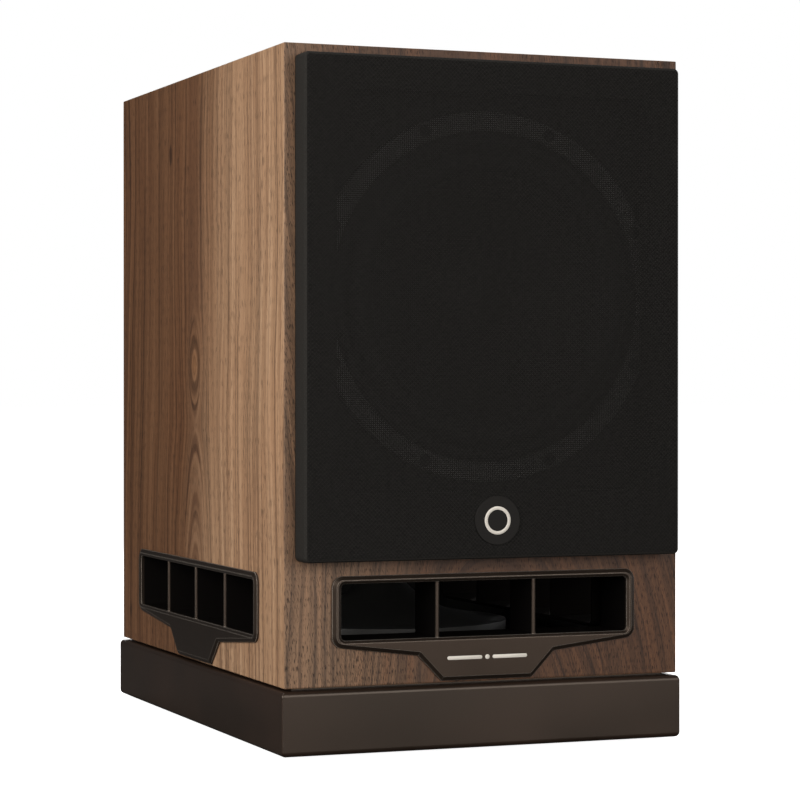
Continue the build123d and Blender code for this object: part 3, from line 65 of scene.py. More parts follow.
class Nodes:
    """A node tree under construction. Most methods add a node and give its output socket."""

    def __init__(self, tree):
        self.tree = tree

    def add(self, kind, **settings):
        made = self.tree.nodes.new("ShaderNode" + kind)
        for key, value in settings.items():
            setattr(made, key, value)
        return made

    def put(self, socket, value):
        """Links an output socket, or sets a plain value."""
        if isinstance(value, bpy.types.NodeSocket):
            self.tree.links.new(value, socket)
        else:
            socket.default_value = value

    def math(self, operation, *values):
        made = self.add("Math", operation=operation)
        for socket, value in zip(made.inputs, values):
            self.put(socket, value)
        return made.outputs[0]

    def total(self, *terms):
        """Weighted sum of (socket, weight) terms."""
        result = 0.0
        for socket, weight in terms:
            result = self.math("MULTIPLY_ADD", socket, weight, result)
        return result

    def parts(self, kind, output):
        """X, Y and Z of a new node's vector output."""
        split = self.add("SeparateXYZ")
        self.put(split.inputs[0], self.add(kind).outputs[output])
        return split.outputs[0], split.outputs[1], split.outputs[2]

    def place(self):
        """X, Y and Z of the point on the object, in metres."""
        return self.parts("TexCoord", "Object")

    def seen(self):
        """1 for a camera ray that hasn't passed the grille's cloth: nothing bright shows through it."""
        path = self.add("LightPath").outputs
        unveiled = self.math("LESS_THAN", path["Transparent Depth"], 0.5)
        return self.math("MULTIPLY", path["Is Camera Ray"], unveiled)

    def point(self, *terms):
        """A point from three terms, each a number or a (socket, scale) pair, for stretched patterns."""
        made = self.add("CombineXYZ")
        for socket, term in zip(made.inputs, terms):
            self.put(socket, self.math("MULTIPLY", *term) if isinstance(term, tuple) else term)
        return made.outputs[0]

    def spread(self, sx, sy, sz):
        """The point on the object, scaled along each axis."""
        x, y, z = self.place()
        return self.point((x, sx), (y, sy), (z, sz))

    def noise(self, point, scale=1.0, detail=2.0, rough=0.5):
        made = self.add("TexNoise")
        self.put(made.inputs["Vector"], point)
        self.put(made.inputs["Scale"], scale)
        self.put(made.inputs["Detail"], detail)
        self.put(made.inputs["Roughness"], rough)
        return made.outputs["Fac"]

    def cells(self, point, scale=1.0, feature="F1"):
        made = self.add("TexVoronoi", feature=feature)
        self.put(made.inputs["Vector"], point)
        self.put(made.inputs["Scale"], scale)
        return made.outputs["Distance"]

    def remap(self, value, low, high, to_low=0.0, to_high=1.0, kind="LINEAR"):
        made = self.add("MapRange", interpolation_type=kind)
        for socket, item in zip(made.inputs, (value, low, high, to_low, to_high)):
            self.put(socket, item)
        return made.outputs[0]

    def ramp(self, factor, *stops):
        made = self.add("ValToRGB")
        self.put(made.inputs[0], factor)
        elements = made.color_ramp.elements
        while len(elements) < len(stops):
            elements.new(1.0)
        for element, (position, code) in zip(elements, stops):
            element.position = position
            element.color = rgb(code)
        return made.outputs[0]

    def mix(self, factor, first, second, blend="MIX"):
        made = self.add("Mix", data_type="RGBA", blend_type=blend)
        self.put(made.inputs[0], factor)
        self.put(made.inputs[6], rgb(first) if isinstance(first, str) else first)
        self.put(made.inputs[7], rgb(second) if isinstance(second, str) else second)
        return made.outputs[2]

    def rounded(self, radius):
        """The surface direction with its hard edges rounded over."""
        made = self.add("Bevel", samples=4)
        self.put(made.inputs["Radius"], radius)
        return made.outputs[0]

    def bump(self, height, depth, direction=None):
        made = self.add("Bump")
        self.put(made.inputs["Height"], height)
        self.put(made.inputs["Distance"], depth)
        self.put(made.inputs["Strength"], 1.0)
        if direction is not None:
            self.put(made.inputs["Normal"], direction)
        return made.outputs[0]


class Look(Nodes):
    """A node material under construction."""

    def __init__(self, name):
        self.material = bpy.data.materials.new(name)
        self.material.use_nodes = True
        super().__init__(self.material.node_tree)
        self.surface = self.tree.nodes["Principled BSDF"]
        self.end = self.tree.nodes["Material Output"]

    def finish(self, colour, roughness, normal=None, **inputs):
        self.put(self.surface.inputs["Base Color"], colour)
        self.put(self.surface.inputs["Roughness"], roughness)
        if normal is not None:
            self.put(self.surface.inputs["Normal"], normal)
        for key, value in inputs.items():
            self.put(self.surface.inputs[key.replace("_", " ")], value)
        return self.material


EVEN = (1, 1, 1)


def worked(name, dark, light, roughness, scale=900.0, stretch=EVEN, depth=0.02, edge=0.0, **inputs):
    """
    A made finish: two close tones, and a grain of the given stretch that drives roughness and relief too.
    Depth of relief and radius of edge are in millimetres.
    """
    look = Look(name)
    grain = look.noise(look.spread(*(scale * s for s in stretch)), 1.0, 3.0, 0.6)
    cloud = look.noise(look.spread(18, 18, 18), 1.0, 2.0)
    tone = look.total((grain, 0.6), (cloud, 0.4))
    colour = look.ramp(tone, (0.34, dark), (0.66, light))
    rough = look.remap(tone, 0.3, 0.7, *roughness)
    direction = look.rounded(edge * MM) if edge else None
    return look.finish(colour, rough, look.bump(grain, depth * MM, direction), **inputs)


VENEER = 0.7 * MM
CHAMBER_MARGIN = 1.0 * MM
PAINT_INSET = 3.0 * MM


def painted_chamber_shade(look, speckle, colour, hidden):
    """Painted shade: near-black over a colour where hidden is 1, standing in for the shade inside the vent
    chamber.
    """
    return look.mix(hidden, colour, look.ramp(speckle, (0.3, "0b0b0b"), (0.7, "161615")))


def below_shelf(look, z):
    """1 in the vent chamber and on its ceiling."""
    return look.math("LESS_THAN", z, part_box("chamber_shelf")[0].z + CHAMBER_MARGIN)


def wood_figure(look, across, along, cut):
    """Growth lines of flat-cut veneer: straight at the sides, arched near the heart, bent by a knot."""
    sway = look.noise(look.point((across, 5.0), (along, 1.7), 3.1), 1.0, 1.0)
    ripple = look.noise(look.point((across, 26.0), (along, 6.0), 7.7), 1.0, 2.0)
    tremor = look.noise(look.point((across, 75.0), (along, 19.0), 2.3), 1.0, 2.0)
    weights = (0.046, 0.014, 0.0034)
    shift = look.total(*zip((sway, ripple, tremor), weights))
    # each noise averages a half, so half of the weights centres the lines on the heart again
    offset = look.math("ADD", look.math("SUBTRACT", across, cut["heart"] + sum(weights) / 2), shift)
    arch_low, arch_high, arch_rise = cut["arch"]
    spread = cut["spread"]
    plane = look.remap(along, arch_low, arch_high, spread, spread + arch_rise)
    squares = look.math("MULTIPLY_ADD", offset, offset, look.math("MULTIPLY", plane, plane))
    lines = look.math("SQRT", squares)
    knot_across, knot_along, knot_width, knot_height, knot_pull = cut["knot"]
    knot_u = look.math("DIVIDE", look.math("SUBTRACT", across, knot_across), knot_width)
    knot_v = look.math("DIVIDE", look.math("SUBTRACT", along, knot_along), knot_height)
    reach = look.math("MULTIPLY_ADD", knot_u, knot_u, look.math("MULTIPLY", knot_v, knot_v))
    swirl = look.math("EXPONENT", look.math("MULTIPLY", reach, -1.0))
    return look.math("MULTIPLY_ADD", swirl, -knot_pull, lines), offset, swirl


def knot_marks(look, colour, across, along, offset, swirl, middle):
    """A knot's dark rim and warm heart, a dark flame along the heart line, and a few pin knots."""
    frayed = look.math("MULTIPLY_ADD", look.math("SUBTRACT", middle, 0.5), 0.30, swirl)
    from_rim = look.math("ABSOLUTE", look.math("SUBTRACT", frayed, 0.62))
    rim = look.math("MAXIMUM", look.math("MULTIPLY_ADD", from_rim, -4.5, 1.0), 0.0)
    colour = look.mix(look.math("MULTIPLY", rim, 0.80), colour, "3f2a1b")
    colour = look.mix(look.remap(frayed, 0.78, 1.0, 0.0, 0.35), colour, "a5764f")
    # the flame gets wider and narrower as it goes, and stops at the knot
    beat = look.noise(look.point((along, 9.0), 4.4, 0.0), 1.0, 1.0)
    width = look.remap(beat, 0.35, 0.65, 0.008, 0.022)
    flame = look.math("DIVIDE", offset, width)
    flame = look.math("EXPONENT", look.math("MULTIPLY", look.math("MULTIPLY", flame, flame), -1.0))
    flame = look.math("MULTIPLY", flame, look.math("SUBTRACT", 1.0, swirl))
    flame = look.math("MULTIPLY", flame, look.remap(middle, 0.35, 0.62, 1.0, 0.25))
    colour = look.mix(look.math("MULTIPLY", flame, 0.62), colour, "553a2a")
    pins = look.cells(look.point((across, 16.0), (along, 7.0), 2.0))
    return look.mix(look.remap(pins, 0.045, 0.075, 0.75, 0.0), colour, "2c1c13")


def veneered_board(look, colour, axes, fibre):
    """Keeps the veneer to the cabinet's outside: cut edges show the core, with painted shade in near-black
    over it inside the vent chamber, and the front is painted black where the grille hides it.
    """
    x, y, z = look.place()
    past_side = look.math("SUBTRACT", look.math("ABSOLUTE", x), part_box("side_panel_right")[1].x - VENEER)
    past_front = look.math("SUBTRACT", look.math("ABSOLUTE", y), -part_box("front_baffle")[0].y - VENEER)
    past_top = look.math("SUBTRACT", z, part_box("top_panel")[1].z - VENEER)
    past_base = look.math("SUBTRACT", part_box("base_panel")[0].z + VENEER, z)
    outside = look.math("MAXIMUM", past_side, past_front)
    outside = look.math("MAXIMUM", outside, past_top)
    outside = look.math("MAXIMUM", outside, past_base)
    speckle = look.noise(look.spread(1500, 1500, 1500), 1.0, 3.0, 0.7)
    core = look.ramp(speckle, (0.3, "7a5f42"), (0.7, "a98a66"))
    # painted shade: the core turns near-black inside the vent chamber
    core = painted_chamber_shade(look, speckle, core, below_shelf(look, z))
    colour = look.mix(look.math("GREATER_THAN", outside, 0.0), core, colour)
    if "x" in axes and "z" in axes:
        # the front is painted black where the grille hides it
        low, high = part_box("grille_cloth")
        half = (high - low) / 2 - Vector((PAINT_INSET, 0.0, PAINT_INSET))
        from_x = look.math("SUBTRACT", look.math("ABSOLUTE", x), half.x)
        from_z = look.math("ABSOLUTE", look.math("SUBTRACT", z, (low.z + high.z) / 2))
        hidden = look.math("MAXIMUM", from_x, look.math("SUBTRACT", from_z, half.z))
        hidden = look.math("LESS_THAN", look.math("MAXIMUM", hidden, y), 0.0)
        colour = look.mix(hidden, colour, look.ramp(fibre, (0.3, "121211"), (0.7, "1c1b1a")))
    return colour


def walnut(name, axes, cut, stops, pores, painted_shade, slant=0.0):
    """Oiled walnut veneer. Axes name the coordinates across and along the grain, cut its growth lines."""
    look = Look(name)
    place = dict(zip("xyz", look.place()))
    across, along = place[axes[0]], place[axes[1]]
    if slant:
        across = look.math("MULTIPLY_ADD", along, slant, across)
    lines, offset, swirl = wood_figure(look, across, along, cut)
    side = look.math("MULTIPLY", offset, 9.0)
    broad = look.noise(look.point((lines, 105.0), side, (along, 1.2)), 1.0, 2.0)
    middle = look.noise(look.point((lines, 400.0), side, (along, 2.5)), 1.0, 2.0)
    fine = look.noise(look.point((lines, 1100.0), side, (along, 6.0)), 1.0, 2.0)
    fibre = look.noise(look.point((offset, 2100.0), (along, 30.0), 0.0), 1.0, 2.0, 0.7)
    tone = look.total((broad, 0.30), (middle, 0.32), (fine, 0.20), (fibre, 0.30), (swirl, 0.05))
    colour = look.ramp(tone, *stops)
    # late wood darkens towards the end of each year's ring, then stops short
    wander = look.total((broad, 2.2), (middle, 0.7), (lines, 105.0))
    ring_age = look.math("POWER", look.math("FRACT", wander), 7.0)
    ring_depth = look.remap(middle, 0.35, 0.65, 0.85, 0.25)
    colour = look.mix(look.math("MULTIPLY", ring_age, ring_depth), colour, stops[0][1])
    band = look.noise(look.point((lines, 120.0), side, (along, 0.7)), 1.0, 2.0)
    colour = look.mix(look.remap(band, 0.58, 0.70, 0.0, 0.50), colour, "4c392c")
    glow = look.noise(look.point((across, 14.0), (along, 5.0), 1.3))
    colour = look.mix(look.remap(glow, 0.45, 0.75, 0.0, 0.13), colour, "a8714c", "SOFT_LIGHT")
    # painted shade: one side of the board is darkened to stand in for the lamps' light falling off across
    # it, with a soft and uneven border
    shade_from, shade_to, shade_colour = painted_shade
    shade_border = look.total((broad, 0.10), (along, 0.12), (place[axes[0]], 1.0))
    shade = look.remap(shade_border, shade_from, shade_to, 0.0, 1.0, "SMOOTHSTEP")
    colour = look.mix(shade, colour, shade_colour, "MULTIPLY")
    if cut["knot"] is not PALE_FLECK:
        colour = knot_marks(look, colour, across, along, offset, swirl, middle)
    pore_limit, pore_strength, pore_across, pore_along = pores
    dash = look.noise(look.point((offset, pore_across), (along, pore_along), 5.0), 1.0, 1.0)
    crowd = look.noise(look.point((across, 30.0), (along, 9.0), 9.0), 1.0, 1.0)
    dash = look.math("MULTIPLY_ADD", crowd, 0.16, dash)
    pore = look.remap(dash, pore_limit, pore_limit + 0.05, 0.0, pore_strength)
    colour = look.mix(pore, colour, "1d120c")
    colour = veneered_board(look, colour, axes, fibre)
    rough = look.total((fibre, 0.16), (pore, 0.25), (tone, -0.10))
    rough = look.math("ADD", rough, 0.46)
    relief = look.total((fibre, 0.35), (pore, -1.0), (fine, 0.25))
    direction = look.bump(relief, 0.05 * MM, look.rounded(0.5 * MM))
    return look.finish(colour, rough, direction, Specular_IOR_Level=0.38)


# A knot is (across, along, width, height, pull on the growth lines). This one has no pull or marks: it
# only makes the wood a touch paler.
PALE_FLECK = (0.06, 0.2, 0.015, 0.03, 0.0)


def veneer_cut(heart, spread, arch, knot=PALE_FLECK):
    """How a sheet of veneer was cut: heart line, distance from the heart, arch (from, to, rise), knot."""
    return {"heart": heart, "spread": spread, "arch": arch, "knot": knot}


# The left side has a knot on its heart line and an arch low down.
LEFT_CUT = veneer_cut(0.005, 0.012, (0.10, 0.23, 0.026), (0.004, 0.277, 0.016, 0.026, 0.015))
RIGHT_CUT = veneer_cut(-0.050, 0.018, (0.35, 0.50, -0.010))
TOP_CUT = veneer_cut(0.040, 0.015, (-0.15, 0.15, 0.012))
FRONT_CUT = veneer_cut(0.020, 0.020, (0.03, 0.17, 0.055))
REAR_CUT = veneer_cut(-0.020, 0.020, (0.10, 0.40, 0.012))
# Tones from late wood to early wood, each with its place on the ramp.
SIDE_STOPS = ((0.39, "543d2c"), (0.47, "7e634d"), (0.55, "a07e61"), (0.68, "b8987b"))
FRONT_STOPS = ((0.40, "3e2d22"), (0.48, "654e3c"), (0.57, "82664e"), (0.70, "9c7a5e"))
# Pores: where they start, how dark they are, and how fine they are across and along the grain.
SIDE_PORES = (0.66, 0.42, 1000.0, 120.0)
FRONT_PORES = (0.655, 0.80, 2200.0, 210.0)
# Painted shade, standing in for the lamps' light falling off across a board: from, to and colour. The
# plain one lies beyond every board, so nothing is darkened.
LEFT_PAINTED_SHADE = (0.004, 0.114, "a89688")
FRONT_PAINTED_SHADE = (-0.10, 0.05, "ad9583")
NO_PAINTED_SHADE = (0.90, 1.00, "8a6a58")
walnut_left = walnut("walnut_left", "yz", LEFT_CUT, SIDE_STOPS, SIDE_PORES, LEFT_PAINTED_SHADE)
walnut_right = walnut("walnut_right", "yz", RIGHT_CUT, SIDE_STOPS, SIDE_PORES, NO_PAINTED_SHADE)
walnut_top = walnut("walnut_top", "yx", TOP_CUT, SIDE_STOPS, SIDE_PORES, NO_PAINTED_SHADE)
walnut_front = walnut("walnut_front", "xz", FRONT_CUT, FRONT_STOPS, FRONT_PORES, FRONT_PAINTED_SHADE, 0.10)
walnut_rear = walnut("walnut_rear", "xz", REAR_CUT, SIDE_STOPS, SIDE_PORES, NO_PAINTED_SHADE)


def shelf_board():
    """Raw fibreboard, with painted shade in near-black on the vent chamber's side."""
    look = Look("fibreboard")
    speckle = look.noise(look.spread(1300, 1300, 1300), 1.0, 3.0, 0.7)
    raw = look.ramp(speckle, (0.3, "6f563d"), (0.7, "9c7e5c"))
    # painted shade: the board turns near-black inside the vent chamber
    colour = painted_chamber_shade(look, speckle, raw, below_shelf(look, look.place()[2]))
    rough = look.math("MULTIPLY_ADD", speckle, 0.2, 0.72)
    return look.finish(colour, rough, look.bump(speckle, 0.05 * MM))


def lacquer():
    """Satin dark lacquer with a faint orange peel and a slow change of tone."""
    look = Look("plinth_lacquer")
    peel = look.noise(look.spread(700, 700, 700), 1.0, 2.0)
    cloud = look.noise(look.spread(9, 9, 14), 1.0, 2.0)
    dust = look.remap(look.cells(look.spread(260, 260, 260)), 0.0, 0.10, 1.0, 0.0)
    colour = look.ramp(cloud, (0.35, "201813"), (0.65, "2a1f19"))
    colour = look.mix(look.math("MULTIPLY", dust, 0.12), colour, "7a736c")
    rough = look.total((cloud, 0.08), (peel, 0.06))
    rough = look.math("ADD", rough, 0.24)
    direction = look.bump(peel, 0.006 * MM, look.rounded(0.6 * MM))
    return look.finish(colour, rough, direction, Specular_IOR_Level=0.55, Specular_Tint=rgb("fff0e2"))


def bezel_finish():
    """Fine metallic paint on the vents: flakes, a painted highlight along the edges, and painted shade
    just inside the openings.
    """
    look = Look("bezel_plastic")
    flakes = look.noise(look.spread(3800, 3800, 3800), 1.0, 1.0)
    cloud = look.noise(look.spread(25, 25, 25), 1.0, 2.0)
    tone = look.total((flakes, 0.65), (cloud, 0.35))
    colour = look.ramp(tone, (0.32, "15110e"), (0.68, "201a16"))
    # painted highlight: the edges are lightened where the rounded direction leaves the flat one, standing
    # in for light caught on them
    turn = look.add("VectorMath", operation="DOT_PRODUCT")
    rounded = look.rounded(0.8 * MM)
    look.put(turn.inputs[0], rounded)
    look.put(turn.inputs[1], look.add("NewGeometry").outputs["True Normal"])
    painted_edge_highlight = look.remap(turn.outputs["Value"], 0.995, 0.90, 0.0, 0.85)
    colour = look.mix(painted_edge_highlight, colour, "9c958d")
    # painted shade: just inside the opening the moulding turns near-black, rougher and almost without
    # shine, standing in for the shade in the vent slots
    x, y, _ = look.place()
    side_face, front_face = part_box("side_panel_left")[0].x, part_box("front_baffle")[0].y
    past_side = look.math("SUBTRACT", look.math("ABSOLUTE", x), -side_face)
    past_front = look.math("SUBTRACT", look.math("MULTIPLY", y, -1.0), -front_face)
    proud = look.math("MAXIMUM", past_side, past_front)
    painted = look.remap(proud, -0.8 * MM, -0.2 * MM, 0.0, 1.0)
    colour = look.mix(painted, "0c0b0b", colour)
    rough = look.math("MULTIPLY_ADD", tone, 0.22, 0.20)
    rough = look.math("MULTIPLY_ADD", look.math("SUBTRACT", 1.0, painted), 0.4, rough)
    shine = look.remap(painted, 0.0, 1.0, 0.04, 0.6)
    direction = look.bump(flakes, 0.006 * MM, rounded)
    return look.finish(colour, rough, direction, Metallic=0.1, Specular_IOR_Level=shine,
                       Specular_Tint=rgb("ffe3cf"))


def weave(name, pitch, dark, light, gap, uv):
    """
    Plain-woven cloth of a pitch in metres. A larger gap opens the weave, and 0 closes it. With uv the
    threads follow the mesh's UV layer, otherwise X and Z.
    """
    look = Look(name)
    if uv:
        u, v, _ = look.parts("TexCoord", "UV")
    else:
        u, _, v = look.place()
    drift = look.noise(look.point((u, 40.0), (v, 40.0), 0.0), 1.0, 2.0)
    u = look.math("MULTIPLY_ADD", drift, pitch * 0.25, u)
    v = look.math("MULTIPLY_ADD", drift, pitch * -0.25, v)
    turn = math.pi / pitch
    wave_u = look.math("SINE", look.math("MULTIPLY", u, turn))
    wave_v = look.math("SINE", look.math("MULTIPLY", v, turn))
    warp = look.math("ABSOLUTE", wave_u)
    weft = look.math("ABSOLUTE", wave_v)
    # warp lies on top where the two waves share a sign
    over = look.math("MULTIPLY", wave_u, wave_v)
    height = look.total((warp, 0.4), (weft, 0.4), (over, 0.45))
    fuzz = look.noise(look.point((u, 6000.0), (v, 6000.0), 0.0), 1.0, 2.0)
    # a few threads are thicker and catch more light
    slub = look.noise(look.point((u, 260.0), (v, 620.0), 2.0), 1.0, 2.0)
    slub = look.remap(slub, 0.35, 0.65, -0.11, 0.11)
    tone = look.total((height, 0.5), (fuzz, 0.5), (slub, 1.0))
    colour = look.ramp(tone, (0.10, dark), (0.85, light))
    if gap:
        # at the rounded edges and sides the threads bunch up and close the gaps; the paler colour there is
        # a painted sheen
        _, facing, _ = look.parts("NewGeometry", "True Normal")
        turned_away = look.math("LESS_THAN", look.math("ABSOLUTE", facing), 0.97)
        colour = look.mix(look.math("MULTIPLY", turned_away, 0.28), colour, "3a3835")
    direction = look.bump(height, pitch * 0.12)
    look.finish(colour, 0.85, direction, Sheen_Weight=0.04, Sheen_Roughness=0.4, Sheen_Tint=rgb(light),
                Specular_IOR_Level=0.12)
    if gap:
        # the gaps let more of the lamps' light in than they show of what lies behind
        lit = look.math("MULTIPLY_ADD", look.add("LightPath").outputs["Is Shadow Ray"], 0.50, gap)
        covered = look.math("GREATER_THAN", look.math("MAXIMUM", warp, weft), lit)
        covered = look.math("MAXIMUM", covered, turned_away)
        holes = look.add("MixShader")
        look.put(holes.inputs[0], covered)
        look.put(holes.inputs[1], look.add("BsdfTransparent").outputs[0])
        look.put(holes.inputs[2], look.surface.outputs[0])
        look.put(look.end.inputs["Surface"], holes.outputs[0])
    return look.material


def windings():
    """Enamelled copper wire wound round the driver's axis."""
    look = Look("copper_wire")
    _, y, _ = look.place()
    turns = look.math("ABSOLUTE", look.math("SINE", look.math("MULTIPLY", y, math.pi / (0.35 * MM))))
    cloud = look.noise(look.spread(120, 120, 120))
    colour = look.ramp(look.total((turns, 0.6), (cloud, 0.4)), (0.2, "5a2412"), (0.8, "c2703c"))
    return look.finish(colour, 0.28, look.bump(turns, 0.08 * MM), Metallic=0.9)


def circuit():
    """Green board with copper tracks under the mask and rows of solder pads."""
    look = Look("circuit_board")
    x, _, z = look.place()
    tracks = look.add("TexBrick", offset=0.5)
    look.put(tracks.inputs["Vector"], look.point((x, 160.0), (z, 160.0), 0.0))
    look.put(tracks.inputs["Mortar Size"], 0.09)
    pads = look.remap(look.cells(look.point((x, 240.0), (z, 240.0), 0.0)), 0.22, 0.26, 1.0, 0.0)
    colour = look.mix(tracks.outputs["Fac"], "0f3a22", "1f5a34")
    colour = look.mix(look.math("MULTIPLY", pads, 0.8), colour, "b8b2a6")
    relief = look.total((tracks.outputs["Fac"], 0.6), (pads, 0.6))
    return look.finish(colour, look.math("MULTIPLY_ADD", pads, -0.15, 0.38), look.bump(relief, 0.04 * MM))


def lens():
    """Green lamp lens with moulded facets inside and a soft glow."""
    look = Look("lamp_lens")
    facets = look.cells(look.spread(900, 900, 900), 1.0)
    colour = look.ramp(facets, (0.1, "3fae6a"), (0.8, "9af0b4"))
    return look.finish(colour, 0.16, look.bump(facets, 0.05 * MM), Transmission_Weight=0.35,
                       Emission_Color=rgb("7dffa8"), Emission_Strength=0.35)


def paper():
    """Pressed paper pulp: tangled fibres, black dye, soft relief."""
    look = Look("cone_paper")
    fibres = look.cells(look.spread(900, 900, 900), 1.0, "DISTANCE_TO_EDGE")
    pulp = look.noise(look.spread(420, 420, 420), 1.0, 5.0, 0.7)
    tone = look.total((pulp, 0.7), (look.remap(fibres, 0.0, 0.12, 1.0, 0.0), 0.25))
    colour = look.ramp(tone, (0.3, "151413"), (0.75, "35322f"))
    return look.finish(colour, look.math("MULTIPLY_ADD", pulp, 0.2, 0.55), look.bump(tone, 0.12 * MM))


def wadding_finish():
    """Recycled fibre wadding: matted strands in grey and cream."""
    look = Look("wadding")
    strands = look.noise(look.spread(160, 60, 320), 1.0, 6.0, 0.75)
    tufts = look.noise(look.spread(35, 35, 35), 1.0, 3.0)
    flecks = look.remap(look.cells(look.spread(140, 140, 140)), 0.0, 0.12, 1.0, 0.0)
    tone = look.total((strands, 0.7), (tufts, 0.3))
    colour = look.ramp(tone, (0.3, "77736c"), (0.7, "cdc8bd"))
    colour = look.mix(look.math("MULTIPLY", flecks, 0.5), colour, "4a5a78")
    return look.finish(colour, 0.95, look.bump(tone, 1.2 * MM), Sheen_Weight=0.5, Specular_IOR_Level=0.1)


def foam():
    """Closed-cell gasket foam."""
    look = Look("foam_gasket")
    cells = look.cells(look.spread(2400, 2400, 2400), 1.0)
    colour = look.ramp(cells, (0.1, "0c0c0c"), (0.7, "2c2b2a"))
    return look.finish(colour, 0.9, look.bump(cells, 0.1 * MM), Specular_IOR_Level=0.2)


cloth_look = weave("grille_cloth", 1.45 * MM, "050505", "232221", 0.41, True)
spider_look = weave("spider_cloth", 0.9 * MM, "6a4a1c", "c09a52", 0.0, False)
rubber_look = worked("surround_rubber", "121212", "1f1f1e", (0.48, 0.62), 700, depth=0.01)
foam_look = foam()
wadding_look = wadding_finish()
pale_print = worked("pale_print", "c9c4bc", "e6e2da", (0.35, 0.5), 2500, depth=0.004)
white_plastic = worked("white_plastic", "cfcac0", "e4e0d8", (0.3, 0.45), 1500, depth=0.004)
red_plastic = worked("red_plastic", "7c1512", "a52420", (0.3, 0.45), 1500, depth=0.004)

FINISHES = [
    shelf_board(),
    bezel_finish(),
    lacquer(),
    foam_look,
    paper(),
    windings(),
    circuit(),
    lens(),
    worked("black_plastic", "181818", "262625", (0.42, 0.56), 1500, depth=0.015, edge=0.3),
    worked("steel", "6e6e6c", "a8a7a4", (0.26, 0.42), 900, (1, 0.1, 1), 0.006, 0.2, Metallic=1.0),
    worked("foot_rubber", "111111", "242322", (0.68, 0.85), 800, depth=0.05),
    worked("cast_alloy", "2b2b2b", "434342", (0.42, 0.62), 1000, EVEN, 0.05, 0.4, Metallic=0.5),
    worked("satin_black", "515151", "6c6c6b", (0.34, 0.46), 1200, (1, 0.2, 1), 0.006, 0.3, Metallic=0.5),
    worked("black_steel", "1c1c1d", "303031", (0.30, 0.45), 1000, EVEN, 0.01, 0.25, Metallic=0.8),
    worked("former_alloy", "8d8f91", "c0c2c4", (0.25, 0.4), 900, (1, 0.15, 1), 0.004, Metallic=1.0),
    worked("ferrite", "1b1c1e", "37383a", (0.55, 0.8), 1400, depth=0.06),
    worked("cable_sheath", "4a0f0e", "7a1c1a", (0.38, 0.52), 900, (1, 0.1, 1), 0.01),
    worked("grille_board", "0f0f0e", "1d1c1b", (0.7, 0.88), 1100, depth=0.05),
    worked("magnet_nickel", "8c8a85", "bdbbb5", (0.18, 0.34), 1200, EVEN, 0.004, 0.3, Metallic=1.0),
    worked("badge_metal", "121110", "1a1817", (0.50, 0.62), 1600, (0.08, 1, 1), 0.004, 0.3,
           Specular_IOR_Level=0.16),
    worked("amp_black", "161616", "272726", (0.46, 0.66), 1900, depth=0.045, edge=0.4),
    worked("sink_alloy", "1a1a1b", "333334", (0.34, 0.52), 1700, (1, 1, 0.03), 0.012, 0.3, Metallic=0.7),
    worked("component_sleeve", "14213c", "22355c", (0.25, 0.4), 600, depth=0.006, edge=0.4),
    worked("knob_plastic", "151515", "262625", (0.40, 0.55), 1700, depth=0.012, edge=0.2),
    worked("lever_chrome", "9a9a9a", "cfcfcf", (0.10, 0.22), 1100, (1, 0.15, 1), 0.003, Metallic=1.0),
    worked("socket_gold", "a07a34", "dcb664", (0.18, 0.32), 1100, (1, 0.2, 1), 0.004, 0.15, Metallic=1.0),
    worked("pin_brass", "9a7a3c", "cfae66", (0.2, 0.34), 1100, (1, 0.15, 1), 0.004, Metallic=1.0),
    worked("rocker_gloss", "101010", "1a1a1a", (0.12, 0.2), 900, depth=0.003, edge=0.4),
]
PANELS = {
    "side_panel_left": walnut_left,
    "side_panel_right": walnut_right,
    "top_panel": walnut_top,
    "base_panel": walnut_top,
    "front_baffle": walnut_front,
    "rear_panel": walnut_rear,
}


def slot_of(material):
    """A material's name without the number that Blender gives a repeated name."""
    return material.name.split(".")[0]


by_slot = {slot_of(made): made for made in FINISHES}
for name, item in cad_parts.items():
    for index, old in enumerate(list(item.data.materials)):
        item.data.materials[index] = PANELS.get(name) or by_slot.get(slot_of(old), old)


# ------------------------------------------------------------------ mesh helpers
def placed(name, data):
    """A new object in the scene."""
    made = bpy.data.objects.new(name, data)
    scene.collection.objects.link(made)
    return made


def dressed(made, look, body, smooth=True):
    """Gives a new mesh its material, smooth shading where asked, and its body where one is given."""
    made.data.materials.append(look)
    if smooth:
        made.data.shade_smooth()
    if body:
        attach(made, body)
    return made


def piece(name, points, faces, look, body, smooth=True):
    """A new visible piece from points and faces."""
    mesh = bpy.data.meshes.new(name)
    mesh.from_pydata(points, [], faces)
    mesh.validate()
    return dressed(placed(name, mesh), look, body, smooth)


def ring_faces(rings, count, closed=False):
    """Quads between rows of points that close on themselves."""
    faces = []
    for row in range(rings if closed else rings - 1):
        after = (row + 1) % rings
        for i in range(count):
            j = (i + 1) % count
            faces.append((row * count + i, row * count + j, after * count + j, after * count + i))
    return faces


def turned(name, axis_point, profile, steps, look, body, closed=False):
    """A shell turned round an axis along Y. The profile is (radius, y); closed joins its two ends."""
    points = []
    for radius, y in profile:
        for i in range(steps):
            angle = math.tau * i / steps
            x, z = axis_point.x + radius * math.cos(angle), axis_point.z + radius * math.sin(angle)
            points.append((x, y, z))
    return piece(name, points, ring_faces(len(profile), steps, closed), look, body)


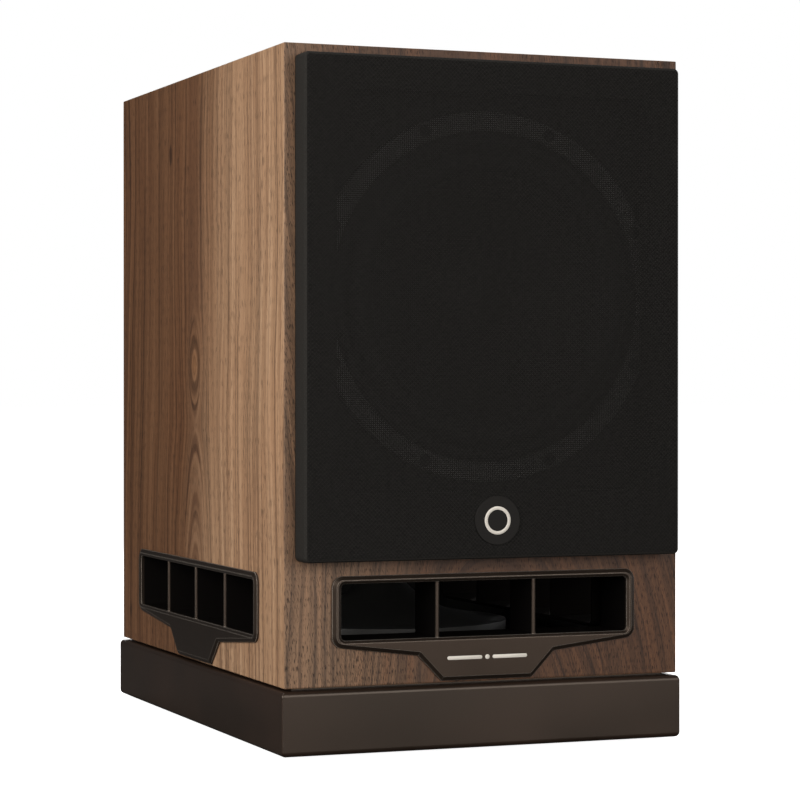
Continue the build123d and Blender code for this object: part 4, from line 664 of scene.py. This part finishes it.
def rounded_outline(half_width, half_height, radius, corner_steps, edge_steps):
    """Points (u, v, outward u, outward v), anticlockwise, round a rectangle with round corners."""
    corners = [(1, 1, 0.0), (-1, 1, 90.0), (-1, -1, 180.0), (1, -1, 270.0)]
    arcs = []
    for side_u, side_v, start in corners:
        arc = []
        for i in range(corner_steps + 1):
            angle = math.radians(start + 90 * i / corner_steps)
            out_u, out_v = math.cos(angle), math.sin(angle)
            centre_u = side_u * (half_width - radius)
            centre_v = side_v * (half_height - radius)
            arc.append((centre_u + radius * out_u, centre_v + radius * out_v, out_u, out_v))
        arcs.append(arc)
    outline = []
    for arc, following in zip(arcs, arcs[1:] + arcs[:1]):
        outline.extend(arc)
        end, begin = arc[-1], following[0]
        for i in range(1, edge_steps):
            share = i / edge_steps
            outline.append((*(a + (b - a) * share for a, b in zip(end[:2], begin[:2])), *end[2:]))
    return outline


# ------------------------------------------------------------------ grille cloth
CLOTH_CORNER = 3.8 * MM
CLOTH_NOSE = 2.5 * MM
CLOTH_INSET = 0.12 * MM
CLOTH_HEM = 9.0 * MM
CLOTH_UNEVEN = 0.04 * MM


def grille_cloth():
    """Cloth pulled over the grille's board: flat front, rounded nose, sides, and a hem turned under."""
    low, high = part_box("grille_cloth")
    centre = (low + high) / 2
    half_width, half_height = (high.x - low.x) / 2, (high.z - low.z) / 2
    outline = rounded_outline(half_width - CLOTH_INSET, half_height - CLOTH_INSET, CLOTH_CORNER, 6, 24)
    front, back = low.y + CLOTH_INSET, high.y - CLOTH_INSET
    nose = CLOTH_NOSE
    # rows from the front's middle to the hem: (distance in from the outline, y, length along the cloth)
    rows = [(inward * MM, front, -inward * MM) for inward in (60, 30, 14, 7, 4)]
    for i in range(7):
        angle = math.radians(90 * i / 6)
        inward, drop = nose * (1 - math.sin(angle)), nose * (1 - math.cos(angle))
        rows.append((inward, front + drop, nose * (angle - 1)))
    wall = back - front - nose
    wall_start = nose * 0.571
    for share in (0.25, 0.5, 0.75, 1.0):
        rows.append((0.0, front + nose + wall * share, wall_start + wall * share))
    rows.append((CLOTH_HEM, back, wall_start + wall + CLOTH_HEM))
    points, uvs = [], []
    for inward, y, length in rows:
        flat = inward > nose
        for u, v, out_u, out_v in outline:
            if flat:
                at_u, at_v = u * (1 - inward / half_width), v * (1 - inward / half_width)
            else:
                at_u, at_v = u - out_u * inward, v - out_v * inward
            pull = CLOTH_UNEVEN * noise.noise(Vector((u * 60, y * 60, v * 60)))
            points.append((centre.x + at_u, y + abs(pull), centre.z + at_v))
            uvs.append((at_u, at_v) if flat else (u + out_u * length, v + out_v * length))
    count = len(outline)
    faces = [tuple(reversed(f)) for f in ring_faces(len(rows), count)]
    faces.append(tuple(range(count)))
    made = piece("grille_cloth_sheet", points, faces, cloth_look, "grille")
    layer = made.data.uv_layers.new(name="threads")
    for loop in made.data.loops:
        layer.data[loop.index].uv = uvs[loop.vertex_index]
    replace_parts(made, "grille_cloth")


grille_cloth()


# ------------------------------------------------------------------ badge and inlay
def flat_ring(name, centre, face_y, inner, outer, thickness, look, body, slot):
    """A thin flat ring, or a disc where inner is 0, standing on a face that looks along -Y."""
    soft = min(thickness * 0.4, 0.08 * MM)
    top = face_y - thickness
    profile = [(inner, face_y), (inner, top + soft), (inner + soft, top)]
    profile += [(outer - soft, top), (outer, top + soft), (outer, face_y)]
    if inner == 0:
        profile = profile[2:]
    turned(name, centre, profile, 96, look, body)


BADGE_RING = (7.6 * MM, 10.0 * MM, 0.12 * MM)
BADGE_RING_ROOT = 0.02 * MM


def badge_ring():
    """A plain pale ring on the badge's face."""
    low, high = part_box("badge")
    root = low.y + BADGE_RING_ROOT
    flat_ring("badge_ring", (low + high) / 2, root, *BADGE_RING, pale_print, "grille", "badge_metal")


INLAY_RISE = 16.0 * MM
INLAY_HALF = 31.0 * MM
INLAY_GAP = 4.0 * MM
INLAY_RADIUS = 1.3 * MM
INLAY_DOT = (0.0, 1.7 * MM, 0.14 * MM)
INLAY_ROOT = 0.05 * MM


def tab_inlay():
    """A plain pale mark on the front vent's tab: a bar, a dot and a bar, with round ends."""
    face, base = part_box("front_vent_bezel")[0].yz
    height = base + INLAY_RISE
    for number, (start, end) in enumerate(((-INLAY_HALF, -INLAY_GAP), (INLAY_GAP, INLAY_HALF)), 1):
        outline = rounded_outline((end - start) / 2, INLAY_RADIUS, INLAY_RADIUS * 0.999, 8, 2)
        middle = (start + end) / 2
        points = []
        for depth, shrink in ((INLAY_ROOT, 0.0), (-0.05 * MM, 0.0), (-0.09 * MM, 0.06 * MM)):
            for u, v, out_u, out_v in outline:
                points.append((middle + u - out_u * shrink, face + depth, height + v - out_v * shrink))
        faces = ring_faces(3, len(outline))
        faces.append(tuple(range(2 * len(outline), 3 * len(outline))))
        faces = [tuple(reversed(f)) for f in faces]
        piece(f"tab_inlay_{number}", points, faces, pale_print, "cabinet")
    centre, root = Vector((0, face, height)), face + INLAY_ROOT
    flat_ring("tab_inlay_dot", centre, root, *INLAY_DOT, pale_print, "cabinet", "bezel_plastic")


badge_ring()
tab_inlay()

# ------------------------------------------------------------------ driver soft parts
ring_low, ring_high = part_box("driver_trim_ring")
driver = Vector(((ring_low.x + ring_high.x) / 2, 0, (ring_low.z + ring_high.z) / 2))
baffle_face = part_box("front_baffle")[0].y


def radial_blend(made):
    """Bakes the piece's placement into its mesh."""
    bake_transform(made)


SEAT = 0.03 * MM
ROLL_LIP = 1.2 * MM
ROLL_OUTER, ROLL_INNER = 109.5 * MM, 88.0 * MM
ROLL_RIM, ROLL_NECK = 117.8 * MM, 83.4 * MM
ROLL_THICKNESS = 1.15 * MM
ROLL_FLATTEN = 0.76
ROLL_STEPS = 16


def surround():
    """Rubber half roll, a little flattened, between the cone's edge and the basket."""
    lip = baffle_face - ROLL_LIP
    top, seat = lip - ROLL_THICKNESS, lip - SEAT
    middle, roll = (ROLL_OUTER + ROLL_INNER) / 2, (ROLL_OUTER - ROLL_INNER) / 2
    bore = roll - ROLL_THICKNESS
    front = [(ROLL_RIM, top), (112.0 * MM, top), (ROLL_OUTER + 0.3 * MM, top)]
    back = [(ROLL_NECK, seat), (ROLL_INNER + 0.4 * MM, seat)]
    for i in range(ROLL_STEPS + 1):
        angle = math.pi * i / ROLL_STEPS
        front.append((middle + roll * math.cos(angle), top - ROLL_FLATTEN * roll * math.sin(angle)))
    for i in range(ROLL_STEPS + 1):
        angle = math.pi * (1 - i / ROLL_STEPS)
        y = lip - ROLL_THICKNESS * 0.8 - ROLL_FLATTEN * bore * math.sin(angle)
        back.append((middle + bore * math.cos(angle), y))
    front += [(ROLL_INNER - 0.4 * MM, top), (ROLL_NECK, top)]
    back += [(ROLL_OUTER - 0.4 * MM, seat), (ROLL_RIM, seat)]
    made = turned("surround_roll", driver, front + back, 160, rubber_look, None, True)
    radial_blend(made)
    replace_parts(made, "driver_surround")


SPIDER_DEPTH = 62.4 * MM
SPIDER_INNER, SPIDER_OUTER = 24.9 * MM, 71.9 * MM
SPIDER_WAVES_FROM, SPIDER_WAVES_TO = 27.0 * MM, 66.0 * MM
SPIDER_HALF_THICKNESS = 0.3 * MM
SPIDER_WAVE, SPIDER_WAVES = 2.1 * MM, 5
SPIDER_STEPS = 60


def spider():
    """Corrugated woven disc that centres the voice coil."""
    seat = baffle_face + SPIDER_DEPTH
    front, back = [], []
    for i in range(SPIDER_STEPS + 1):
        radius = SPIDER_INNER + (SPIDER_OUTER - SPIDER_INNER) * i / SPIDER_STEPS
        share = (radius - SPIDER_WAVES_FROM) / (SPIDER_WAVES_TO - SPIDER_WAVES_FROM)
        share = min(1.0, max(0.0, share))
        edge = min(1.0, 6 * share, 6 * (1 - share))
        wave = SPIDER_WAVE * math.sin(math.tau * SPIDER_WAVES * share) * edge
        front.append((radius, seat + wave - SPIDER_HALF_THICKNESS))
        back.append((radius, seat + wave + SPIDER_HALF_THICKNESS))
    made = turned("spider_disc", driver, front + back[::-1], 144, spider_look, None, True)
    radial_blend(made)
    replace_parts(made, "driver_spider")


surround()
spider()


# ------------------------------------------------------------------ wadding and gaskets
def pad(number, low, high):
    """A slab of wadding: soft edges, a quilted swell and a matted surface."""
    centre, half = (low + high) / 2, (high - low) / 2
    body = bmesh.new()
    bmesh.ops.create_cube(body, size=2.0)
    bmesh.ops.subdivide_edges(body, edges=body.edges[:], cuts=30, use_grid_fill=True)
    thin = min(range(3), key=lambda k: half[k])
    for vertex in body.verts:
        unit = vertex.co.copy()
        for k in range(3):
            others = [unit[m] for m in range(3) if m != k]
            if k == thin:
                crown = (1 - others[0] ** 8) * (1 - others[1] ** 8)
                vertex.co[k] = unit[k] * (0.62 + 0.34 * crown)
            else:
                side = abs(unit[thin])
                vertex.co[k] = unit[k] * (1 - 0.03 * side**4)
        place = Vector(vertex.co[k] * half[k] for k in range(3)) + centre
        lump = noise.noise(place * 42) * 1.4 * MM + noise.noise(place * 190) * 0.5 * MM
        inward = (centre - place).normalized()
        vertex.co = place + inward * abs(lump)
    name = f"wadding_pad_{number}"
    mesh = bpy.data.meshes.new(name)
    body.to_mesh(mesh)
    body.free()
    return dressed(placed(name, mesh), wadding_look, "cabinet")


def loose_parts(node):
    """Boxes of a CAD node's separate solids."""
    solid = bmesh.new()
    solid.from_mesh(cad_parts[node].data)
    bmesh.ops.remove_doubles(solid, verts=solid.verts[:], dist=1e-6)
    left, boxes = set(solid.verts), []
    while left:
        stack, part = [left.pop()], []
        while stack:
            vertex = stack.pop()
            part.append(vertex.co.copy())
            for edge in vertex.link_edges:
                other = edge.other_vert(vertex)
                if other in left:
                    left.discard(other)
                    stack.append(other)
        low = Vector(min(p[k] for p in part) for k in range(3))
        high = Vector(max(p[k] for p in part) for k in range(3))
        boxes.append((low, high))
    solid.free()
    return sorted(boxes, key=lambda b: tuple(b[0]))


for number, (low, high) in enumerate(loose_parts("damping_pads"), 1):
    made_pad = pad(number, low, high)
    if number == 1:
        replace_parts(made_pad, "damping_pads")


def foam_bead(name, pairs, y_low, y_high):
    """A closed foam strip with a bulged section, swept round an outline of (inner, outer) points."""
    steps = 10
    points = []
    middle, half = (y_low + y_high) / 2, (y_high - y_low) / 2
    for i in range(steps):
        angle = math.tau * i / steps
        across = 0.5 + 0.5 * math.copysign(abs(math.cos(angle)) ** 0.6, math.cos(angle))
        y = middle + half * math.copysign(abs(math.sin(angle)) ** 0.5, math.sin(angle))
        for inner, outer in pairs:
            u = inner[0] + (outer[0] - inner[0]) * across
            v = inner[1] + (outer[1] - inner[1]) * across
            points.append((u, y, v))
    faces = ring_faces(steps, len(pairs), True)
    return piece(name, points, faces, foam_look, "cabinet")


def circle_pairs(inner, outer):
    """Outline of a round gasket: (inner, outer) points about the driver's axis."""
    steps, pairs = 144, []
    for i in range(steps):
        c, s = math.cos(math.tau * i / steps), math.sin(math.tau * i / steps)
        pairs.append([(driver.x + radius * c, driver.z + radius * s) for radius in (inner, outer)])
    return pairs


def frame_pairs(centre, half_width, half_height, radius, width):
    """Outline of a rectangular gasket: (inner, outer) points about a centre."""
    pairs = []
    for u, v, out_u, out_v in rounded_outline(half_width, half_height, radius, 6, 20):
        inner = (centre.x + u - out_u * width, centre.z + v - out_v * width)
        pairs.append((inner, (centre.x + u, centre.z + v)))
    return pairs


DRIVER_BEADS = ((118.6 * MM, 122.4 * MM), (129.4 * MM, 131.9 * MM))


def driver_gasket():
    """Two round beads of foam, either side of the driver's screws."""
    low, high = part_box("driver_gasket")
    inner_bead, outer_bead = (circle_pairs(*radii) for radii in DRIVER_BEADS)
    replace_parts(foam_bead("driver_gasket_inner", inner_bead, low.y, high.y), "driver_gasket")
    foam_bead("driver_gasket_outer", outer_bead, low.y, high.y)


AMP_BEAD = 4.2 * MM
AMP_BEAD_STEP = 10.6 * MM
AMP_CORNER, AMP_INNER_CORNER = 5.5 * MM, 5.0 * MM


def amp_gasket():
    """Two rectangular beads of foam, either side of the amplifier's screws."""
    low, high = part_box("amp_gasket")
    centre = (low + high) / 2
    half_width, half_height = (high.x - low.x) / 2, (high.z - low.z) / 2
    outer_bead = frame_pairs(centre, half_width, half_height, AMP_CORNER, AMP_BEAD)
    half_width, half_height = half_width - AMP_BEAD_STEP, half_height - AMP_BEAD_STEP
    inner_bead = frame_pairs(centre, half_width, half_height, AMP_INNER_CORNER, AMP_BEAD)
    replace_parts(foam_bead("amp_gasket_outer", outer_bead, low.y, high.y), "amp_gasket")
    foam_bead("amp_gasket_inner", inner_bead, low.y, high.y)


driver_gasket()
amp_gasket()

# ------------------------------------------------------------------ rear panel details
SOCKET_FLANGE_HALF = 6.5 * MM
COLLAR_INNER, COLLAR_OUTER = 7.0 * MM, 9.2 * MM
COLLAR_ROOT, COLLAR_RISE = 0.05 * MM, 1.6 * MM
plate_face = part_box("amp_plate")[1].y
socket_low, socket_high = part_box("line_sockets")
socket_z = (socket_low.z + socket_high.z) / 2
socket_xs = (socket_high.x - SOCKET_FLANGE_HALF, (socket_low.x + socket_high.x) / 2,
             socket_low.x + SOCKET_FLANGE_HALF)


def socket_collars():
    """A coloured sleeve round each line socket."""
    soft = 0.15 * MM
    start, end = plate_face - COLLAR_ROOT, plate_face + COLLAR_RISE
    profile = [(COLLAR_OUTER, start), (COLLAR_OUTER, end - soft), (COLLAR_OUTER - soft, end)]
    profile += [(COLLAR_INNER + soft, end), (COLLAR_INNER, end - soft), (COLLAR_INNER, start)]
    for number, (x, look) in enumerate(zip(socket_xs, (white_plastic, red_plastic, white_plastic)), 1):
        centre = Vector((x, 0, socket_z))
        turned(f"socket_collar_{number}", centre, profile, 64, look, "cabinet", True)


socket_collars()


def print_marks(name, marks):
    """Flat pale marks printed on the amplifier plate. Each mark is its four corners as (x, z)."""
    points, faces = [], []
    for corners in marks:
        base = len(points)
        points.extend((x, plate_face + 0.04 * MM, z) for x, z in corners)
        faces.append(tuple(base + i for i in range(4)))
    piece(name, points, faces, pale_print, "cabinet", False)


def bar(x, z, width, height, angle=0.0):
    """Corners of a flat bar, seen from the rear, turned by an angle."""
    c, s = math.cos(angle), math.sin(angle)
    corners = []
    for u, v in ((-1, -1), (-1, 1), (1, 1), (1, -1)):
        du, dv = u * width / 2, v * height / 2
        corners.append((x + du * c - dv * s, z + du * s + dv * c))
    return corners


LINE = 0.5 * MM
DIAL_RADIUS = 13.4 * MM
DIAL_TURN, DIAL_TICKS = 150, 11
LONG_TICK, SHORT_TICK = 3.0 * MM, 1.8 * MM
LEVER_MARK, LEVER_MARK_GAP = 4.5 * MM, 3.0 * MM
BRACKET_DROP = 12.0 * MM
BRACKET_OVERHANG = 7.0 * MM
BRACKET_HOOK = 2.7 * MM


def dial_marks(knob):
    """Ticks round a knob, longer at the ends and the middle."""
    low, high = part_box(knob)
    cx, cz = (low.x + high.x) / 2, (low.z + high.z) / 2
    marks = []
    for tick in range(DIAL_TICKS):
        angle = math.radians(-DIAL_TURN + 2 * DIAL_TURN * tick / (DIAL_TICKS - 1))
        length = LONG_TICK if tick % 5 == 0 else SHORT_TICK
        reach = DIAL_RADIUS + length / 2
        marks.append(bar(cx - reach * math.sin(angle), cz + reach * math.cos(angle), LINE, length, angle))
    return marks


def lever_marks(lever):
    """A short bar above and below a lever."""
    low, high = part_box(lever)
    bodies_low, bodies_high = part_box("toggle_bodies")
    heights = (bodies_high.z + LEVER_MARK_GAP, bodies_low.z - LEVER_MARK_GAP)
    return [bar((low.x + high.x) / 2, z, LEVER_MARK, LINE) for z in heights]


def socket_marks():
    """A bracket under the three sockets."""
    left, right = socket_xs[0] + BRACKET_OVERHANG, socket_xs[2] - BRACKET_OVERHANG
    marks = [bar((left + right) / 2, socket_z - BRACKET_DROP, left - right, LINE)]
    for x in (left, right):
        marks.append(bar(x, socket_z - BRACKET_DROP + (BRACKET_HOOK - LINE) / 2, LINE, BRACKET_HOOK))
    return marks


dials = dial_marks("level_knob") + dial_marks("crossover_knob")
levers = lever_marks("phase_lever") + lever_marks("mode_lever")
print_marks("panel_marks", dials + levers + socket_marks())


def knob_pointers():
    """A pale fill in each knob's pointer groove."""
    for knob, body in (("level_knob", "level_control"), ("crossover_knob", "crossover_control")):
        low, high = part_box(knob)
        cx, cz = (low.x + high.x) / 2, (low.z + high.z) / 2
        corners = bar(cx, cz + 7 * MM, 1.3 * MM, 5.9 * MM)
        points = [(x, high.y - 0.35 * MM, z) for x, z in corners]
        piece(f"{knob}_pointer", points, [(0, 1, 2, 3)], pale_print, body, False)


knob_pointers()


# ------------------------------------------------------------------ floor, light and camera
def floor():
    """A plain pale floor, bright enough to run into the backdrop, that still takes a soft shadow."""
    mesh = bpy.data.meshes.new("studio_floor")
    reach = 30.0
    mesh.from_pydata([(-reach, -reach, 0), (reach, -reach, 0), (reach, reach, 0), (-reach, reach, 0)], [],
                     [(0, 1, 2, 3)])
    look = Look("pale_floor")
    speck = look.noise(look.spread(3, 3, 3), 1.0, 2.0)
    seen = look.seen()
    paint = look.ramp(speck, (0.3, "e6e4e1"), (0.7, "ebe9e6"))
    look.finish(look.mix(seen, "4c4b4a", paint), 0.9, Specular_IOR_Level=0.1)
    glow = look.add("Emission")
    look.put(glow.inputs["Strength"], look.math("MULTIPLY", seen, 0.97))
    both = look.add("AddShader")
    look.put(both.inputs[0], look.surface.outputs[0])
    look.put(both.inputs[1], glow.outputs[0])
    look.put(look.end.inputs["Surface"], both.outputs[0])
    mesh.materials.append(look.material)
    placed("studio_floor", mesh)


def backdrop():
    """White to the camera, and a dimmer even light for the object."""
    world = bpy.data.worlds.new("studio")
    world.use_nodes = True
    scene.world = world
    sky = Nodes(world.node_tree)
    shine = world.node_tree.nodes["Background"]
    sky.put(shine.inputs["Color"], rgb("ffffff"))
    sky.put(shine.inputs["Strength"], sky.remap(sky.seen(), 0.0, 1.0, WORLD_LIGHT, 1.0))


def softbox(name, place, aim, size, power, colour="ffffff"):
    light = bpy.data.lights.new(name, "AREA")
    light.shape = "RECTANGLE"
    light.size, light.size_y = size
    light.energy = power
    light.color = rgb(colour)[:3]
    made = placed(name, light)
    made.location = place
    made.rotation_euler = (Vector(aim) - Vector(place)).to_track_quat("-Z", "Y").to_euler()
    made.visible_camera = False


WORLD_LIGHT = 0.05
floor()
backdrop()
softbox("key_left", (-1.30, -0.50, 0.60), (-0.15, -0.10, 0.25), (1.1, 1.0), 20, "fffaf4")
softbox("front", (0.10, -2.2, 0.60), (0.0, -0.2, 0.25), (2.8, 1.3), 37, "fffaf4")
softbox("fill_right", (1.5, 0.1, 0.40), (0.1, 0.0, 0.15), (0.8, 0.8), 7)
softbox("top", (0.0, 0.2, 1.9), (0.0, 0.0, 0.3), (1.6, 1.6), 12)
softbox("rear", (0.6, 1.8, 0.9), (0.0, 0.2, 0.25), (1.4, 1.0), 14)

# The camera's place and lens are fitted to the outline of the cabinet in the photo.
AIM = Vector((-0.0568, -0.1847, 0.2510))
AZIMUTH, ELEVATION, DISTANCE = math.radians(-21.42), math.radians(0.31), 1.902
camera_data = bpy.data.cameras.new("photo_camera")
camera_data.sensor_width = 36.0
camera_data.lens = 119.5
camera = placed("photo_camera", camera_data)
level = math.cos(ELEVATION)
away = Vector((math.sin(AZIMUTH) * level, -math.cos(AZIMUTH) * level, math.sin(ELEVATION)))
camera.location = AIM + away * DISTANCE
camera.rotation_euler = (-away).to_track_quat("-Z", "Y").to_euler()
scene.camera = camera
scene.view_settings.view_transform = "Standard"
